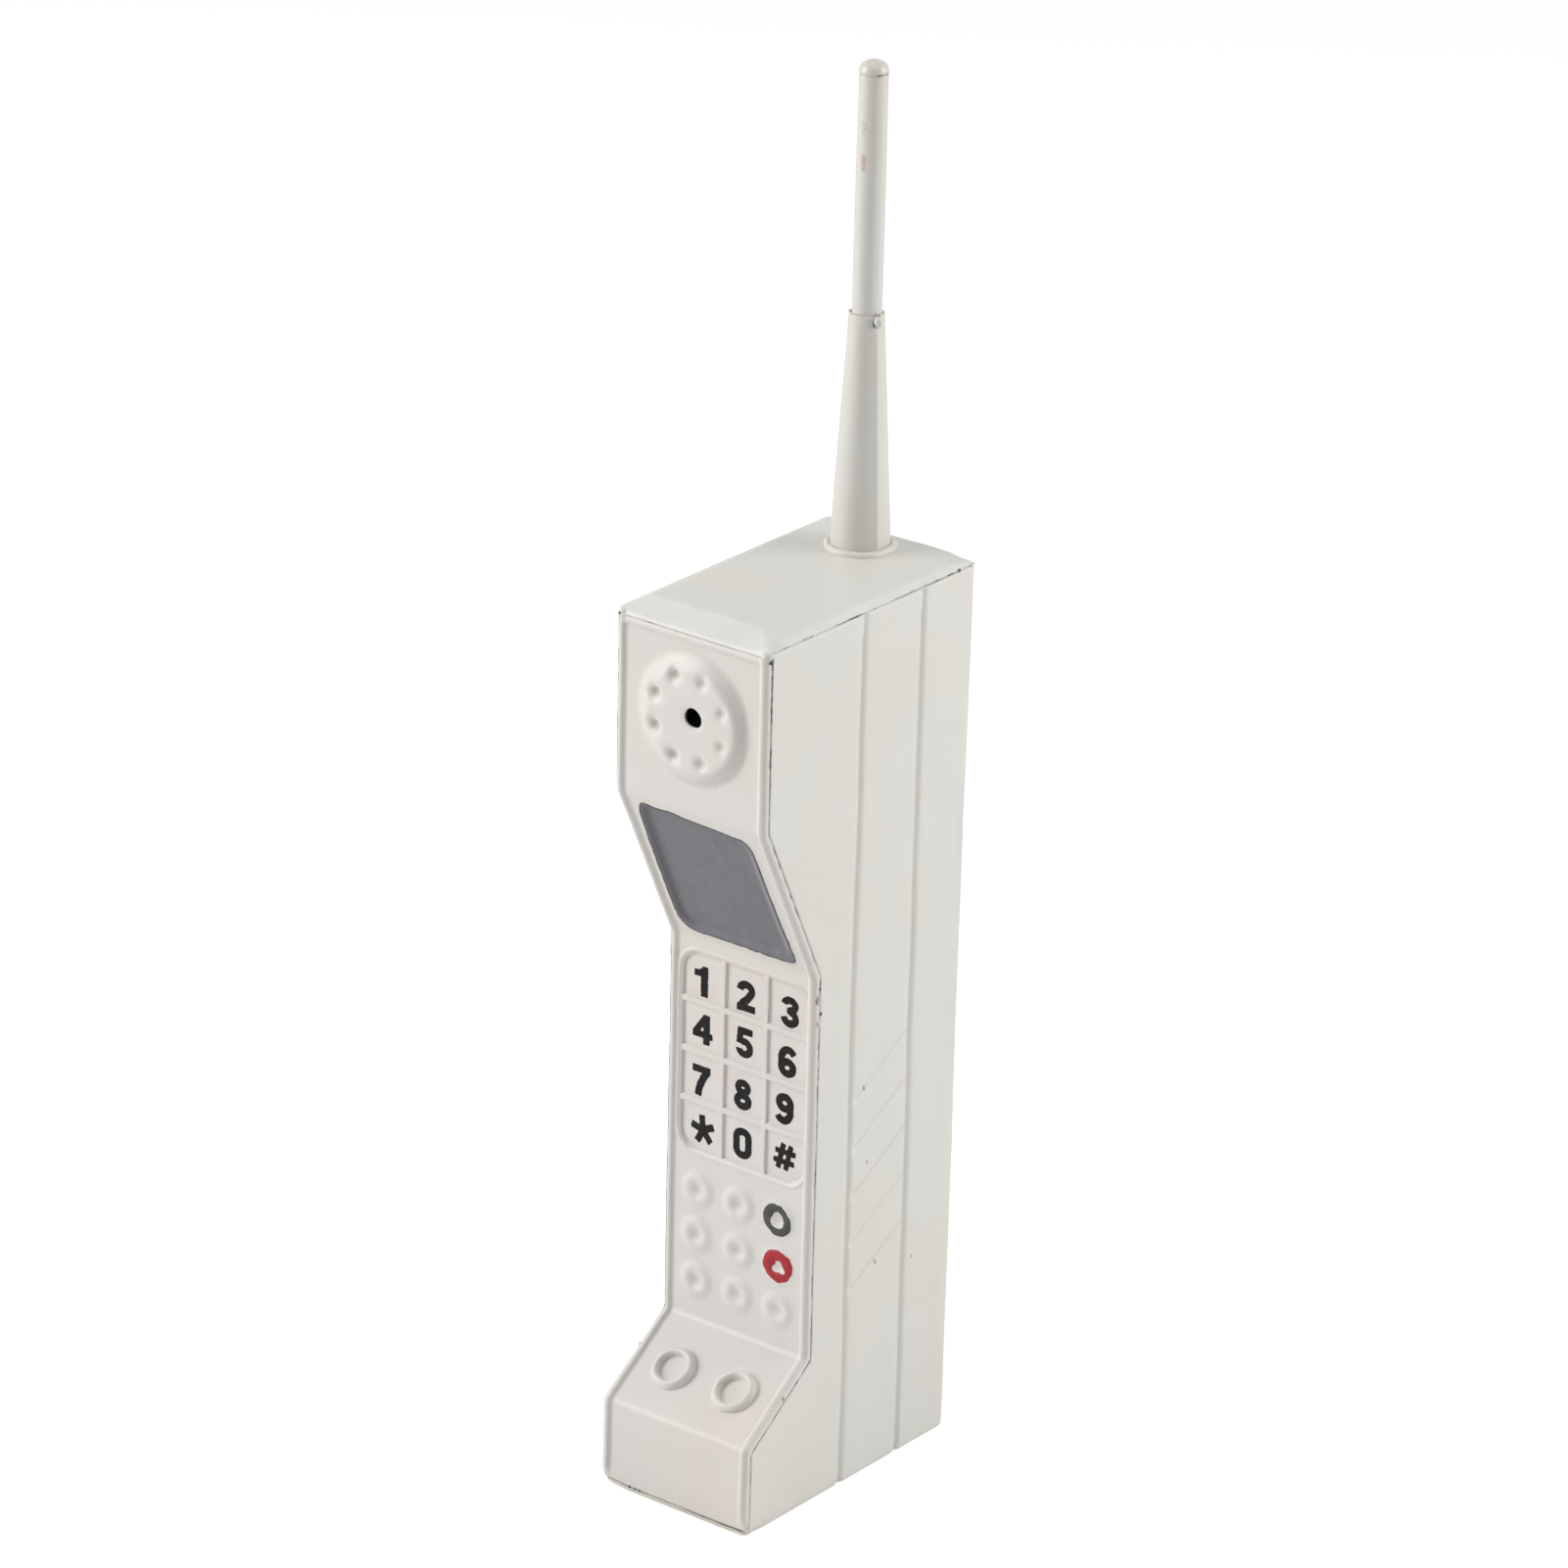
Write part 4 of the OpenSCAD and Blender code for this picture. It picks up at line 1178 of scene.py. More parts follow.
def with_apron(points, levels):
    """Adds one ring of points round a grid for each (z, tuck), carrying it down to the seam."""
    for level_z, tuck in levels:
        points = np.pad(points, ((1, 1), (1, 1), (0, 0)), mode="edge")
        moved = points.copy()
        moved[..., 2] = level_z
        if level_z > CASE_Z - 1:
            moved[..., 2] -= 1.15 * smooth((EAR_Y + 1.2 - points[..., 1]) / 0.9)
        moved[..., 0] *= 1 - tuck / HALF
        moved[..., 1] = MIDDLE_Y + (moved[..., 1] - MIDDLE_Y) * (1 - tuck / HALF_DEPTH)
        moved[1:-1, 1:-1] = points[1:-1, 1:-1]
        points = moved
    return points


def build_top():
    upper, dead = top_surface()
    x, y, z = (upper[..., k] for k in range(3))
    near_hole = np.hypot(x - AERIAL_X, y - AERIAL_Y) < 9
    drawn_in = 0.55
    lower = np.stack([
        np.where(near_hole, x, x * ((HALF - drawn_in) / HALF)),
        np.where(near_hole, y, (y - MIDDLE_Y) * (1 - drawn_in / HALF_DEPTH) + MIDDLE_Y),
        np.maximum(z - THICK, CASE_Z + 0.02)], -1)
    outer = with_apron(upper, [(CASE_Z + 0.16, 0.03), (CASE_Z + 0.08, 0.42)])
    inner = with_apron(lower, [(CASE_Z - 2.0, 0.03), (CASE_Z - 5.5, 0.05)])
    rows, cols = outer.shape[:2]
    inset = np.minimum(HALF - np.abs(x), np.minimum(y - TOP_FRONT_Y + 0.35, BACK_Y - y))
    seam = inset * 0.9 + np.maximum(z - CASE_Z - 0.2, 0) * 0.8
    seam = np.pad(np.pad(seam, 1, constant_values=0.12), 1, constant_values=0.0)
    ahead, _ = lip_distance(x, y)
    # painted highlight on the front lip and along a band inside each side edge, carried by the lip
    # attribute
    rim_painted_highlight = bell(HALF - np.abs(x) - 1.0, 1.0) * smooth((y - EAR_Y - 3) / 5)
    lip = np.maximum(0.62 * smooth((ahead + 0.2) / 0.9), 0.8 * rim_painted_highlight)
    lip = np.pad(lip, 2, constant_values=0.3)
    cap = mesh_object("top_sheet", both_sides(warp(outer), warp(inner)),
                      sheet_faces(rows, cols, np.pad(dead, 2)), TOP_PAINT,
                      {"seam": outer_values(seam, rows * cols, 5.0),
                       "lip": outer_values(lip, rows * cols, 0.0)}, sharp=60)
    # points that coincide are welded
    work = bmesh.new()
    work.from_mesh(cap.data)
    bmesh.ops.remove_doubles(work, verts=work.verts, dist=0.5e-6)
    bmesh.ops.dissolve_degenerate(work, edges=work.edges, dist=1e-7)
    work.to_mesh(cap.data)
    work.free()
    place(cap, "top_cap")


# ------------------------------------------------------------ bottom sheet

BASE_HALF = HALF - 0.62
BASE_FRONT_Y, BASE_BACK_Y = EAR_Y + 1.05, BACK_Y - 0.62
BASE_EDGE_LINES = (0, 0.12, 0.3, 0.5, 0.8, 1.1, 1.5, 2.0)
# section of the base's front edge: (y from the ear face, z)
BASE_RIM = np.array([(-0.80, 1.02), (-0.84, 0.80), (-0.80, 0.45), (-0.66, 0.16),
                     (-0.42, 0.03), (0.4, 0.02), (1.3, 0.05), (1.3, 1.02)])


def build_base():
    x_lines = grid_lines(-BASE_HALF, BASE_HALF, 1.6,
                         [side * (BASE_HALF - line) for side in (-1, 1)
                          for line in BASE_EDGE_LINES])
    y_lines = grid_lines(BASE_FRONT_Y, BASE_BACK_Y, 1.6,
                         [BASE_FRONT_Y + line for line in BASE_EDGE_LINES]
                         + [BASE_BACK_Y - line for line in BASE_EDGE_LINES])
    x, y = np.meshgrid(x_lines, y_lines)
    inset = np.minimum(np.minimum(x + BASE_HALF, BASE_HALF - x),
                       np.minimum(y - BASE_FRONT_Y, BASE_BACK_Y - y))
    z = 0.42 - 0.30 * bell(inset - 0.85, 0.45) + 0.9 * (1 - smoother(inset / 0.5))
    plan = np.stack([x, y], -1)
    uneven = waves(plan, 41, 24.0) * 0.07 + waves(plan, 42, 7.0) * 0.02
    z = z + np.clip(uneven, -0.1, 0.4) * smooth(inset / 4)
    outer = np.stack([x, y, z], -1)
    inner = np.stack([x, y, np.where(inset < 0.01, 4.8, z + THICK)], -1)
    plate = mesh_object("base_sheet", both_sides(outer, inner), sheet_faces(*z.shape),
                        BASE_PAINT, sharp=60)
    place(plate, "bottom_plate")


def build_base_edge():
    """The base's own edge, showing under the front."""
    x = np.linspace(-(HALF - 0.16), HALF - 0.16, 90)
    line = np.stack([x, x * 0], -1)
    wobble = waves(line, 44, 9.0) * 0.03 + waves(line, 45, 3.0) * 0.012
    end = np.clip((np.abs(x) - (HALF - 1.0)) / 0.9, 0, 1)
    shrink = np.sqrt(np.clip(1 - end ** 2, 0.05, 1))
    rim_y, rim_z = BASE_RIM.T
    points = np.zeros((len(x), len(BASE_RIM), 3))
    points[..., 0] = x[:, None]
    points[..., 1] = (EAR_Y + 1.3 + (rim_y - 1.3) * shrink[:, None]
                      + wobble[:, None] * (rim_y < 0))
    points[..., 2] = rim_z
    index = np.arange(len(x) * len(BASE_RIM)).reshape(len(x), -1)
    following = np.roll(index, -1, 1)
    quads = np.stack([index[:-1], following[:-1], following[1:], index[1:]], -1)
    faces = [quads.reshape(-1, 4), index[:1, ::-1], index[-1:]]
    edge = mesh_object("base_front_edge", warp(points).reshape(-1, 3), faces, BASE_PAINT)
    place(edge)


# ------------------------------------------------------------ seams

# where the solder down each side shows dark: z from, z to, amount
DARK = {
    1: [(207, 212.2, 1.0), (197, 208.5, 0.86), (185, 199, 0.73), (168, 187, 0.58),
        (151, 168, 0.60), (130, 151, 0.52), (122.5, 130.5, 0.70), (119.8, 122, 0.9),
        (104, 120.5, 0.66), (82, 105, 0.58), (38, 84, 0.64), (33, 40, 0.66),
        (20, 34, 0.60), (-2, 21, 0.60)],
    -1: [(207, 212.2, 1.0), (188, 208, 0.55), (172, 189, 0.30), (140, 160, 0.35),
         (110, 131, 0.55), (40, 110, 0.40), (28, 38, 0.5), (0, 12, 0.4)]}
# the same for the top seam: x for the front, y behind the ear face for the right side
TOP_FRONT_DARK = [(-15.0, 14.2, 1.0)]
TOP_RIGHT_DARK = [(1.5, 5.0, 0.45), (22.5, 33.8, 0.80), (35.2, 38.4, 0.8), (43.0, 55.0, 0.70),
                  (54.0, 67.0, 1.0), (69.0, 72.0, 0.95)]
# lumps down each side seam: y, z, half length, half height
LUMPS = [(EAR_Y + 20.75, 124.6, 0.741, 1.71), (EAR_Y + 20.85, 118.4, 0.585, 1.17),
         (EAR_Y + 20.9, 36.0, 0.429, 0.81), (EAR_Y + 11.6, 29.9, 0.39, 0.72),
         (EAR_Y + 0.2, 16.7, 0.351, 0.81)]
# blobs at the front top corners, where three sheets meet: side name, side, half sizes
CORNER_BLOBS = (("right", 1, (1.35, 1.12, 0.95)), ("left", -1, (0.85, 0.672, 0.59)))
# small gaps where the solder has not run: name, centre, half sizes
GAPS = [
    ("gap_front_right", (HALF - 0.30, EAR_Y + 0.55, CASE_Z - 1.75), (0.42, 0.55, 0.75)),
    ("gap_front_left", (-HALF + 0.42, EAR_Y - 0.02, CASE_Z - 1.02), (0.36, 0.24, 0.34)),
    ("gap_rear_right", (HALF - 0.15, EAR_Y + 66.6, CASE_Z + 0.18), (0.36, 0.62, 0.36)),
    ("gap_keypad_right", (HALF - 0.08, EAR_Y + 21.4, 120.8), (0.30, 0.42, 0.55)),
    ("gap_keypad_top", (HALF - 0.06, EAR_Y + 21.0, 126.9), (0.24, 0.30, 0.60))]
BASE_CHIPS = ((-12.6, 0.30), (-11.2, 0.22), (-9.9, 0.34))   # x, half width


def blob(name, centre, size, seed, rough, bare=0.6, material=SOLDER,
         replaced=None):
    """An uneven lump of solder, flattened into the sheets."""
    work = bmesh.new()
    bmesh.ops.create_icosphere(work, subdivisions=4, radius=1.0)
    ball = np.array([vert.co[:] for vert in work.verts])
    swell = 1 + rough * waves(ball, seed, 2.4) + 0.4 * rough * waves(ball, seed + 1, 1.0)
    points = np.asarray(centre) + ball * swell[:, None] * np.array(size)
    for vert, point in zip(work.verts, points):
        vert.co = Vector(point * MM)
    mesh = bpy.data.meshes.new(name)
    work.to_mesh(mesh)
    work.free()
    mesh.shade_smooth()
    values = np.clip(bare + 0.25 * waves(ball, seed + 5, 1.6), 0, 1)
    layer = mesh.attributes.new("bare", "FLOAT", "POINT")
    layer.data.foreach_set("value", values.astype(np.float32))
    place(link_object(name, mesh, material), replaced)


def seam_bead(name, path, radius, bare, segments=8):
    verts, faces = tube(warp(path), radius, segments)
    bare = np.clip(np.repeat(bare, segments), 0, 1)
    bare = np.concatenate([bare, bare[:1], bare[-1:]])
    place(mesh_object(name, verts, faces, SOLDER, {"bare": bare}, sharp=80))


def side_seam_path(side):
    """Evenly spaced points just inside the front's line, down one side."""
    rows = ~ROW_UNDER
    line = np.column_stack([np.full(np.count_nonzero(rows), side * (HALF - 0.13)),
                            ROW_YZ[rows] - ROW_OUT[rows]])
    steps = np.linalg.norm(np.diff(line, axis=0), axis=1)
    along = np.concatenate([[0], np.cumsum(steps)])
    even = np.linspace(0, along[-1], int(along[-1] / 0.33))
    path = np.stack([np.interp(even, along, line[:, k]) for k in range(3)], -1)
    return path[path[:, 2] > 0.9]


def stretches(position, places):
    """The amount inside each (low, high, amount) stretch, fading at its ends."""
    total = np.zeros_like(position)
    for low, high, amount in places:
        inside = smooth((position - low) / 1.5) * smooth((high - position) / 1.5)
        total = np.maximum(total, amount * inside)
    return total


def build_side_seam(side, name):
    path = side_seam_path(side)
    z = path[:, 2]
    radius = 0.16 + 0.035 * waves(path, 51 + side, 9.0) + 0.02 * waves(path, 55 + side, 2.2)
    thick = [(low, high, 1) for low, high, amount in DARK[side] if amount > 0.71]
    radius = np.clip(radius + 0.13 * stretches(z, thick), 0.11, 0.34)
    path = path + np.stack([0.04 * waves(path, 61 + side, 3.0),
                            0.05 * waves(path, 63 + side, 2.5), np.zeros(len(path))], -1)
    path[:, 0] = np.clip(path[:, 0], -HALF + 0.06, HALF - 0.06)
    seam_bead(name, path, radius, stretches(z, DARK[side]), segments=10)


def build_top_seam():
    """The seam between the top sheet and the case: front, both sides and back."""
    inset = 0.20
    left, right, front, back = -HALF + inset, HALF - inset, EAR_Y + inset, BACK_Y - inset
    corners = np.array([(left, front), (right, front), (right, back), (left, back)])
    loop = []
    for start, end in zip(corners, np.roll(corners, -1, axis=0)):
        steps = int(np.linalg.norm(end - start) / 0.4)
        loop += [start + (end - start) * t for t in np.arange(steps) / steps]
    loop = np.array(loop)
    z = CASE_Z + 0.10 - 1.14 * smooth((EAR_Y + 1.2 - loop[:, 1:]) / 0.9)
    path = np.concatenate([loop, z], -1)
    path[:, 1] -= 0.16 * (path[:, 1] < EAR_Y + 0.5)
    x, y = path[:, 0], path[:, 1]
    radius = 0.12 + 0.025 * waves(path, 71, 6.0) + 0.015 * waves(path, 72, 1.8)
    on_front = y < EAR_Y + 1
    on_right = (x > HALF - 1) & ~on_front
    bare = np.where(on_right, stretches(y - EAR_Y, TOP_RIGHT_DARK),
                    0.42 + 0.2 * waves(path, 76, 12.0))
    bare = np.where(on_front, stretches(x, TOP_FRONT_DARK), bare)
    radius = np.clip(radius, 0.07, 0.17) + 0.04 * smooth((bare - 0.6) / 0.3) * ~on_front
    seam_bead("seam_bead_top", path, radius, bare)


def build_base_seam():
    """The seam above the base's edge, with three chips near its left end."""
    count = 110
    x = np.linspace(-(HALF - 0.9), HALF - 0.9, count)
    path = np.stack([x, np.full(count, EAR_Y - 0.80), np.full(count, LOW_SEAM - 0.03)], -1)
    bare = (0.46 + 0.22 * waves(path, 77, 11.0) - 0.25 * smooth((-13 - x) / 3)
            + 0.2 * smooth((x - 2) / 8) - 0.40 * bell(x + 11.5, 3.2))
    radius = np.clip(0.11 + 0.02 * waves(path, 78, 4.0), 0.07, 0.15)
    seam_bead("seam_bead_base", path, radius, np.clip(bare, 0.03, 0.9))
    for i, (chip_x, half_width) in enumerate(BASE_CHIPS):
        blob("chip_base_%d" % (i + 1), warp((chip_x, EAR_Y - 0.90, LOW_SEAM + 0.20)),
             (half_width, 0.16, 0.24), seed=171 + i, rough=0.2, bare=1.0)


def build_seams():
    for side, name in ((-1, "seam_bead_left"), (1, "seam_bead_right")):
        build_side_seam(side, name)
    build_top_seam()
    for side, side_name in ((-1, "left"), (1, "right")):
        for i, (y, z, half_length, half_height) in enumerate(LUMPS):
            blob("seam_lump_%s_%d" % (side_name, i + 1), warp((side * (HALF - 0.26), y, z)),
                 (0.47, half_length, half_height), seed=81 + 7 * i + side, rough=0.16,
                 bare=0.34 if side > 0 else 0.4,
                 replaced="seam_solder" if side < 0 and i == 0 else None)
    for side_name, side, size in CORNER_BLOBS:
        blob("corner_blob_" + side_name, (side * (HALF - 0.85), EAR_Y + 0.36, CASE_Z - 0.42),
             size, seed=131 + side, rough=0.12, material=BLOB_PAINT)
    for i, (name, centre, size) in enumerate(GAPS):
        blob(name, warp(centre), size, seed=151 + i, rough=0.14, bare=1.0)
    build_base_seam()


# ------------------------------------------------------------ ring bosses

# closed section of a ring boss: (radius, height off the face)
BOSS_SECTION = np.array([
    (5.55, -0.35), (5.50, 0.02), (5.42, 0.42), (5.27, 0.85), (5.05, 1.20), (4.78, 1.46),
    (4.48, 1.60), (4.22, 1.63), (4.00, 1.56), (3.80, 1.38), (3.64, 1.08), (3.52, 0.70),
    (3.42, 0.30), (3.36, 0.0), (3.33, -0.35)])


def build_ring_boss(side, phase):
    segments = 96
    turn = np.linspace(0, 2 * math.pi, segments, endpoint=False)
    radius = BOSS_SECTION[:, :1] * (1 + 0.012 * np.sin(2 * turn + phase)
                                    + 0.008 * np.sin(5 * turn + 2 * phase))
    height = np.repeat(BOSS_SECTION[:, 1:], segments, 1)
    uneven = 1 + 0.05 * np.sin(turn + phase + 1) + 0.03 * np.sin(3 * turn + phase)
    height = np.where(height > 0, height * uneven, height)
    points = front_point(RING_FACE, RING_CENTRES[side] + radius * np.cos(turn),
                         RING_DOWN + radius * np.sin(turn), height)
    # painted shade round the boss's foot and down in its hole
    crease = np.clip(0.35 - np.abs(height) * 0.6, 0, 1) * 0.6
    boss = mesh_object("ring_boss_" + side + "_pressed", points.reshape(-1, 3),
                       ring_faces(*height.shape), FRONT_PAINT,
                       {"seam": np.full(height.size, 6.0), "crease": crease}, sharp=70)
    place(boss, "ring_boss_" + side)


# ------------------------------------------------------------ painted rings


def ring_film(colour, centre, outer, inner, shift, seed, material, point):
    """A painted ring on the front, with a hole drawn to three soft points."""
    segments, steps = 120, 15
    turn = np.linspace(0, 2 * math.pi, segments, endpoint=False)
    circle = np.stack([np.cos(turn), np.sin(turn)], -1)
    grow_out = 1 + 0.035 * waves(circle, seed, 1.6) + 0.018 * waves(circle, seed + 1, 0.5)
    grow_in = 1 + 0.06 * waves(circle, seed + 2, 1.6) + 0.03 * waves(circle, seed + 3, 0.5)
    grow_in = grow_in + point * np.cos(3 * (turn + math.radians(96)))
    outside = np.array(outer) * grow_out[:, None] * circle
    inside = np.array(inner) * grow_in[:, None] * circle + np.array(shift)
    t = np.linspace(0, 1, steps)[:, None, None]
    spots = inside * (1 - t) + outside * t + np.array(centre)
    lift = np.full((steps, segments), 0.06)
    lift[[0, -1]] = 0.02
    top = front_point(KEY_FACE, spots[..., 0], spots[..., 1], lift)
    under = front_point(KEY_FACE, spots[..., 0], spots[..., 1], -0.10)
    ring = mesh_object(colour + "_ring", both_sides(top, under),
                       sheet_faces(steps, segments, closed=True), material, sharp=60)
    place(ring, colour + "_ring_paint")


# ------------------------------------------------------------ filling flat shapes


def fill(field, x_lines, y_lines):
    """Marching squares: points and polygons covering where the field is below 0."""
    points, polygons, index = [], [], {}

    def point(key, x, y):
        if key not in index:
            index[key] = len(points)
            points.append((x, y))
        return index[key]

    def cross(here, there):
        return np.clip(here / (here - there), 0.08, 0.92)

    def corner(i, j):
        return point(("corner", i, j), x_lines[j], y_lines[i])

    def on_row(i, j):
        t = cross(field[i, j], field[i, j + 1])
        x = x_lines[j] + t * (x_lines[j + 1] - x_lines[j])
        return point(("row", i, j), x, y_lines[i])

    def on_col(i, j):
        t = cross(field[i, j], field[i + 1, j])
        y = y_lines[i] + t * (y_lines[i + 1] - y_lines[i])
        return point(("col", i, j), x_lines[j], y)

    below = field < 0
    for i in range(field.shape[0] - 1):
        for j in range(field.shape[1] - 1):
            cells = ((i, j), (i, j + 1), (i + 1, j + 1), (i + 1, j))
            inside = [below[cell] for cell in cells]
            if not any(inside):
                continue
            if inside[0] == inside[2] and inside[1] == inside[3] and inside[0] != inside[1]:
                triangles = [
                    (corner(i, j), on_row(i, j), on_col(i, j)),
                    (corner(i, j + 1), on_col(i, j + 1), on_row(i, j)),
                    (corner(i + 1, j + 1), on_row(i + 1, j), on_col(i, j + 1)),
                    (corner(i + 1, j), on_col(i, j), on_row(i + 1, j))]
                polygons += [tri for kept, tri in zip(inside, triangles) if kept]
                continue
            edges = ((on_row, i, j), (on_col, i, j + 1), (on_row, i + 1, j), (on_col, i, j))
            polygon = []
            for k, (crossing, row, col) in enumerate(edges):
                if inside[k]:
                    polygon.append(corner(*cells[k]))
                if inside[k] != inside[(k + 1) % 4]:
                    polygon.append(crossing(row, col))
            if len(polygon) >= 3:
                polygons.append(tuple(polygon))
    return np.array(points), polygons


def slab(polygons, count):
    """Faces of a slab from flat polygons: count top points, then as many bottom ones."""
    groups, edges = {}, {}
    for polygon in polygons:
        groups.setdefault(len(polygon), []).append(polygon)
        for edge in zip(polygon, polygon[1:] + polygon[:1]):
            edges[edge] = True
    faces = {size: [np.array(group), np.array(group)[:, ::-1] + count]
             for size, group in groups.items()}
    walls = [(b, a, a + count, b + count) for a, b in edges if (b, a) not in edges]
    faces.setdefault(4, []).append(np.array(walls))
    return [np.concatenate(group) for group in faces.values()]


def build_display():
    """The grey display, cut to its brushed outline."""
    down = ROW_DOWN[ROW_FACE == SCREEN_FACE]
    down = down[np.concatenate([[True], np.diff(down) > 0.05])]
    down = down[(down > 0.9) & (down < 44)]
    across = ACROSS[(ACROSS > 3.6) & (ACROSS < 38.0)]
    plan = np.stack(np.meshgrid(across, down), -1)
    field = polygon_distance(plan[..., 0], plan[..., 1], DISPLAY_OUTLINE)
    field = field - 0.02 + 0.06 * waves(plan, 91, 2.6) + 0.035 * waves(plan, 92, 0.9)
    points, polygons = fill(field, across, down)
    across, down = points[:, 0], points[:, 1]
    off = polygon_distance(across, down, DISPLAY_OUTLINE)
    top = front_point(SCREEN_FACE, across, down, 0.085)
    under = front_point(SCREEN_FACE, across, down, -0.10)
    # the dark edge is widest at the top and the right, partly the paint's edge and partly a
    # painted shadow line at the recess rim; a painted highlight runs inside the right edge
    rim = np.maximum(smooth((6.0 - down) / 2.5) * smooth((across - 6) / 4),
                     smooth((across - 33.6) / 2) * smooth((38.5 - down) / 3))
    edge = bell(np.minimum(off, 0), 0.30 + 0.14 * rim, power=4) * (0.6 + 0.4 * rim)
    painted_glint = (bell(off + 1.75, 1.05) * smooth((across - 33.0) / 2) * smooth((down - 5) / 3)
             * smooth((39.5 - down) / 3))
    display = mesh_object("display_paint", both_sides(top, under), slab(polygons, len(points)),
                          GREY, {"edge": np.tile(edge, 2), "painted_glint": np.tile(painted_glint, 2)}, sharp=60)
    place(display, "screen_paint")


# ------------------------------------------------------------ printed characters


def pen_distance(x, y, path, width, closed):
    """Signed distance to a pen stroke with square-cut ends, negative inside."""
    nearest = np.full(x.shape, 1e9)
    path = np.asarray(path, float)
    if closed:
        path = np.concatenate([path, path[:1]])
    for (ax, ay), (bx, by) in zip(path[:-1], path[1:]):
        run_x, run_y = bx - ax, by - ay
        length = run_x * run_x + run_y * run_y + 1e-12
        t = np.clip(((x - ax) * run_x + (y - ay) * run_y) / length, 0, 1)
        nearest = np.minimum(nearest, np.hypot(x - ax - run_x * t, y - ay - run_y * t))
    field = nearest - width / 2
    if not closed:
        for before, end in ((path[1], path[0]), (path[-2], path[-1])):
            run_x, run_y = end - before
            beyond = ((x - end[0]) * run_x + (y - end[1]) * run_y) / math.hypot(run_x, run_y)
            close = np.hypot(x - end[0], y - end[1]) < width
            field = np.where(close, np.maximum(field, beyond), field)
    return field


def pen(path, width, closed=False):
    return lambda x, y: pen_distance(x, y, path, width, closed)


def area(*points):
    return lambda x, y: polygon_distance(x, y, points)


def block(x0, x1, y0, y1):
    return area((x0, y0), (x1, y0), (x1, y1), (x0, y1))


def arc(x, y, radius_x, radius_y, start, end):
    turn = np.radians(np.linspace(start, end, 22))
    return np.stack([x + radius_x * np.cos(turn), y + radius_y * np.sin(turn)], -1)


def spoke(degrees):
    turn = math.radians(degrees)
    return [(0, 0), (3.05 * math.cos(turn), 3.05 * math.sin(turn))]


SIX = [pen(arc(0.02, -1.38, 1.55, 1.38, 0, 350), 1.42, closed=True),
       pen(np.concatenate([arc(0.30, 0.62, 1.86, 2.16, 38, 180), [[-1.54, -1.3]]]), 1.42)]
# the parts of each character in key order, in mm about its centre with y up
GLYPHS = [
    [area((1.6, -3.45), (1.6, 3.45), (0.35, 3.45), (-0.1, 2.85), (-0.85, 2.45), (-1.9, 2.4),
          (-1.9, 1.2), (-0.05, 1.25), (-0.05, -3.45))],
    [pen(np.concatenate([arc(0.02, 1.42, 1.62, 1.34, 176, -28),
                         [[0.45, -0.55], [-0.95, -1.85], [-1.7, -2.9]]]), 1.5),
     block(-2.4, 2.4, -3.45, -2.1)],
    [pen(arc(-0.02, 1.62, 1.5, 1.18, 172, -86), 1.4),
     pen(arc(-0.02, -1.42, 1.66, 1.36, 88, -172), 1.42), block(-0.7, 0.4, -0.45, 0.85)],
    [block(0.35, 1.85, -3.45, 3.4), block(-2.6, 2.65, -2.0, -0.75),
     area((0.35, 3.4), (1.85, 3.4), (-1.1, -0.8), (-2.6, -0.8))],
    [block(-1.75, 2.1, 2.15, 3.45),
     area((-1.75, 3.0), (-0.45, 3.0), (-0.75, -0.2), (-2.1, -0.1)),
     pen(arc(-0.02, -1.2, 1.58, 1.54, 135, -168), 1.42)],
    SIX,
    [block(-2.35, 2.35, 2.1, 3.45),
     pen([(1.75, 2.6), (0.6, 0.95), (-0.25, -0.9), (-0.7, -2.4), (-0.85, -3.5)], 1.5)],
    [pen(arc(0, 1.68, 1.36, 1.12, 0, 350), 1.34, closed=True),
     pen(arc(0, -1.5, 1.6, 1.3, 0, 350), 1.38, closed=True)],
    [lambda x, y, part=part: part(-x, -y) for part in SIX],
    [pen(spoke(degrees), 1.25) for degrees in (92, 164, 236, 308, 20)],
    [pen(np.concatenate([arc(0, 1.45, 1.68, 1.38, 0, 180),
                         arc(0, -1.45, 1.68, 1.38, 180, 360)]), 1.46, closed=True)],
    [pen([(x - 0.55, -3.0), (x + 0.55, 3.0)], 1.0) for x in (-1.05, 1.05)]
    + [pen([(-2.8, -1.35), (2.6, -1.1)], 0.98), pen([(-2.5, 1.05), (2.85, 1.3)], 0.98)]]
# where each is printed: across, down, lean in degrees, stretch in x and y
PRINTS = [
    (8.65, 10.42, 0, 1.01, 1.01), (21.15, 10.42, 1.5, 1.01, 1.01),
    (33.55, 10.52, 0.5, 1.01, 1.01), (9.15, 21.92, -0.5, 1.01, 1.01),
    (21.05, 21.72, 0.5, 1.01, 1.01), (33.15, 22.62, 1.0, 1.03, 1.04),
    (9.05, 34.62, 0, 1.01, 1.01), (20.85, 34.42, 0.5, 1.01, 1.01),
    (32.70, 34.22, -0.5, 1.03, 1.04), (9.80, 46.47, 4, 1.03, 1.13),
    (21.15, 46.22, 0.5, 1.01, 1.01), (33.05, 45.82, -3, 1.01, 1.01)]


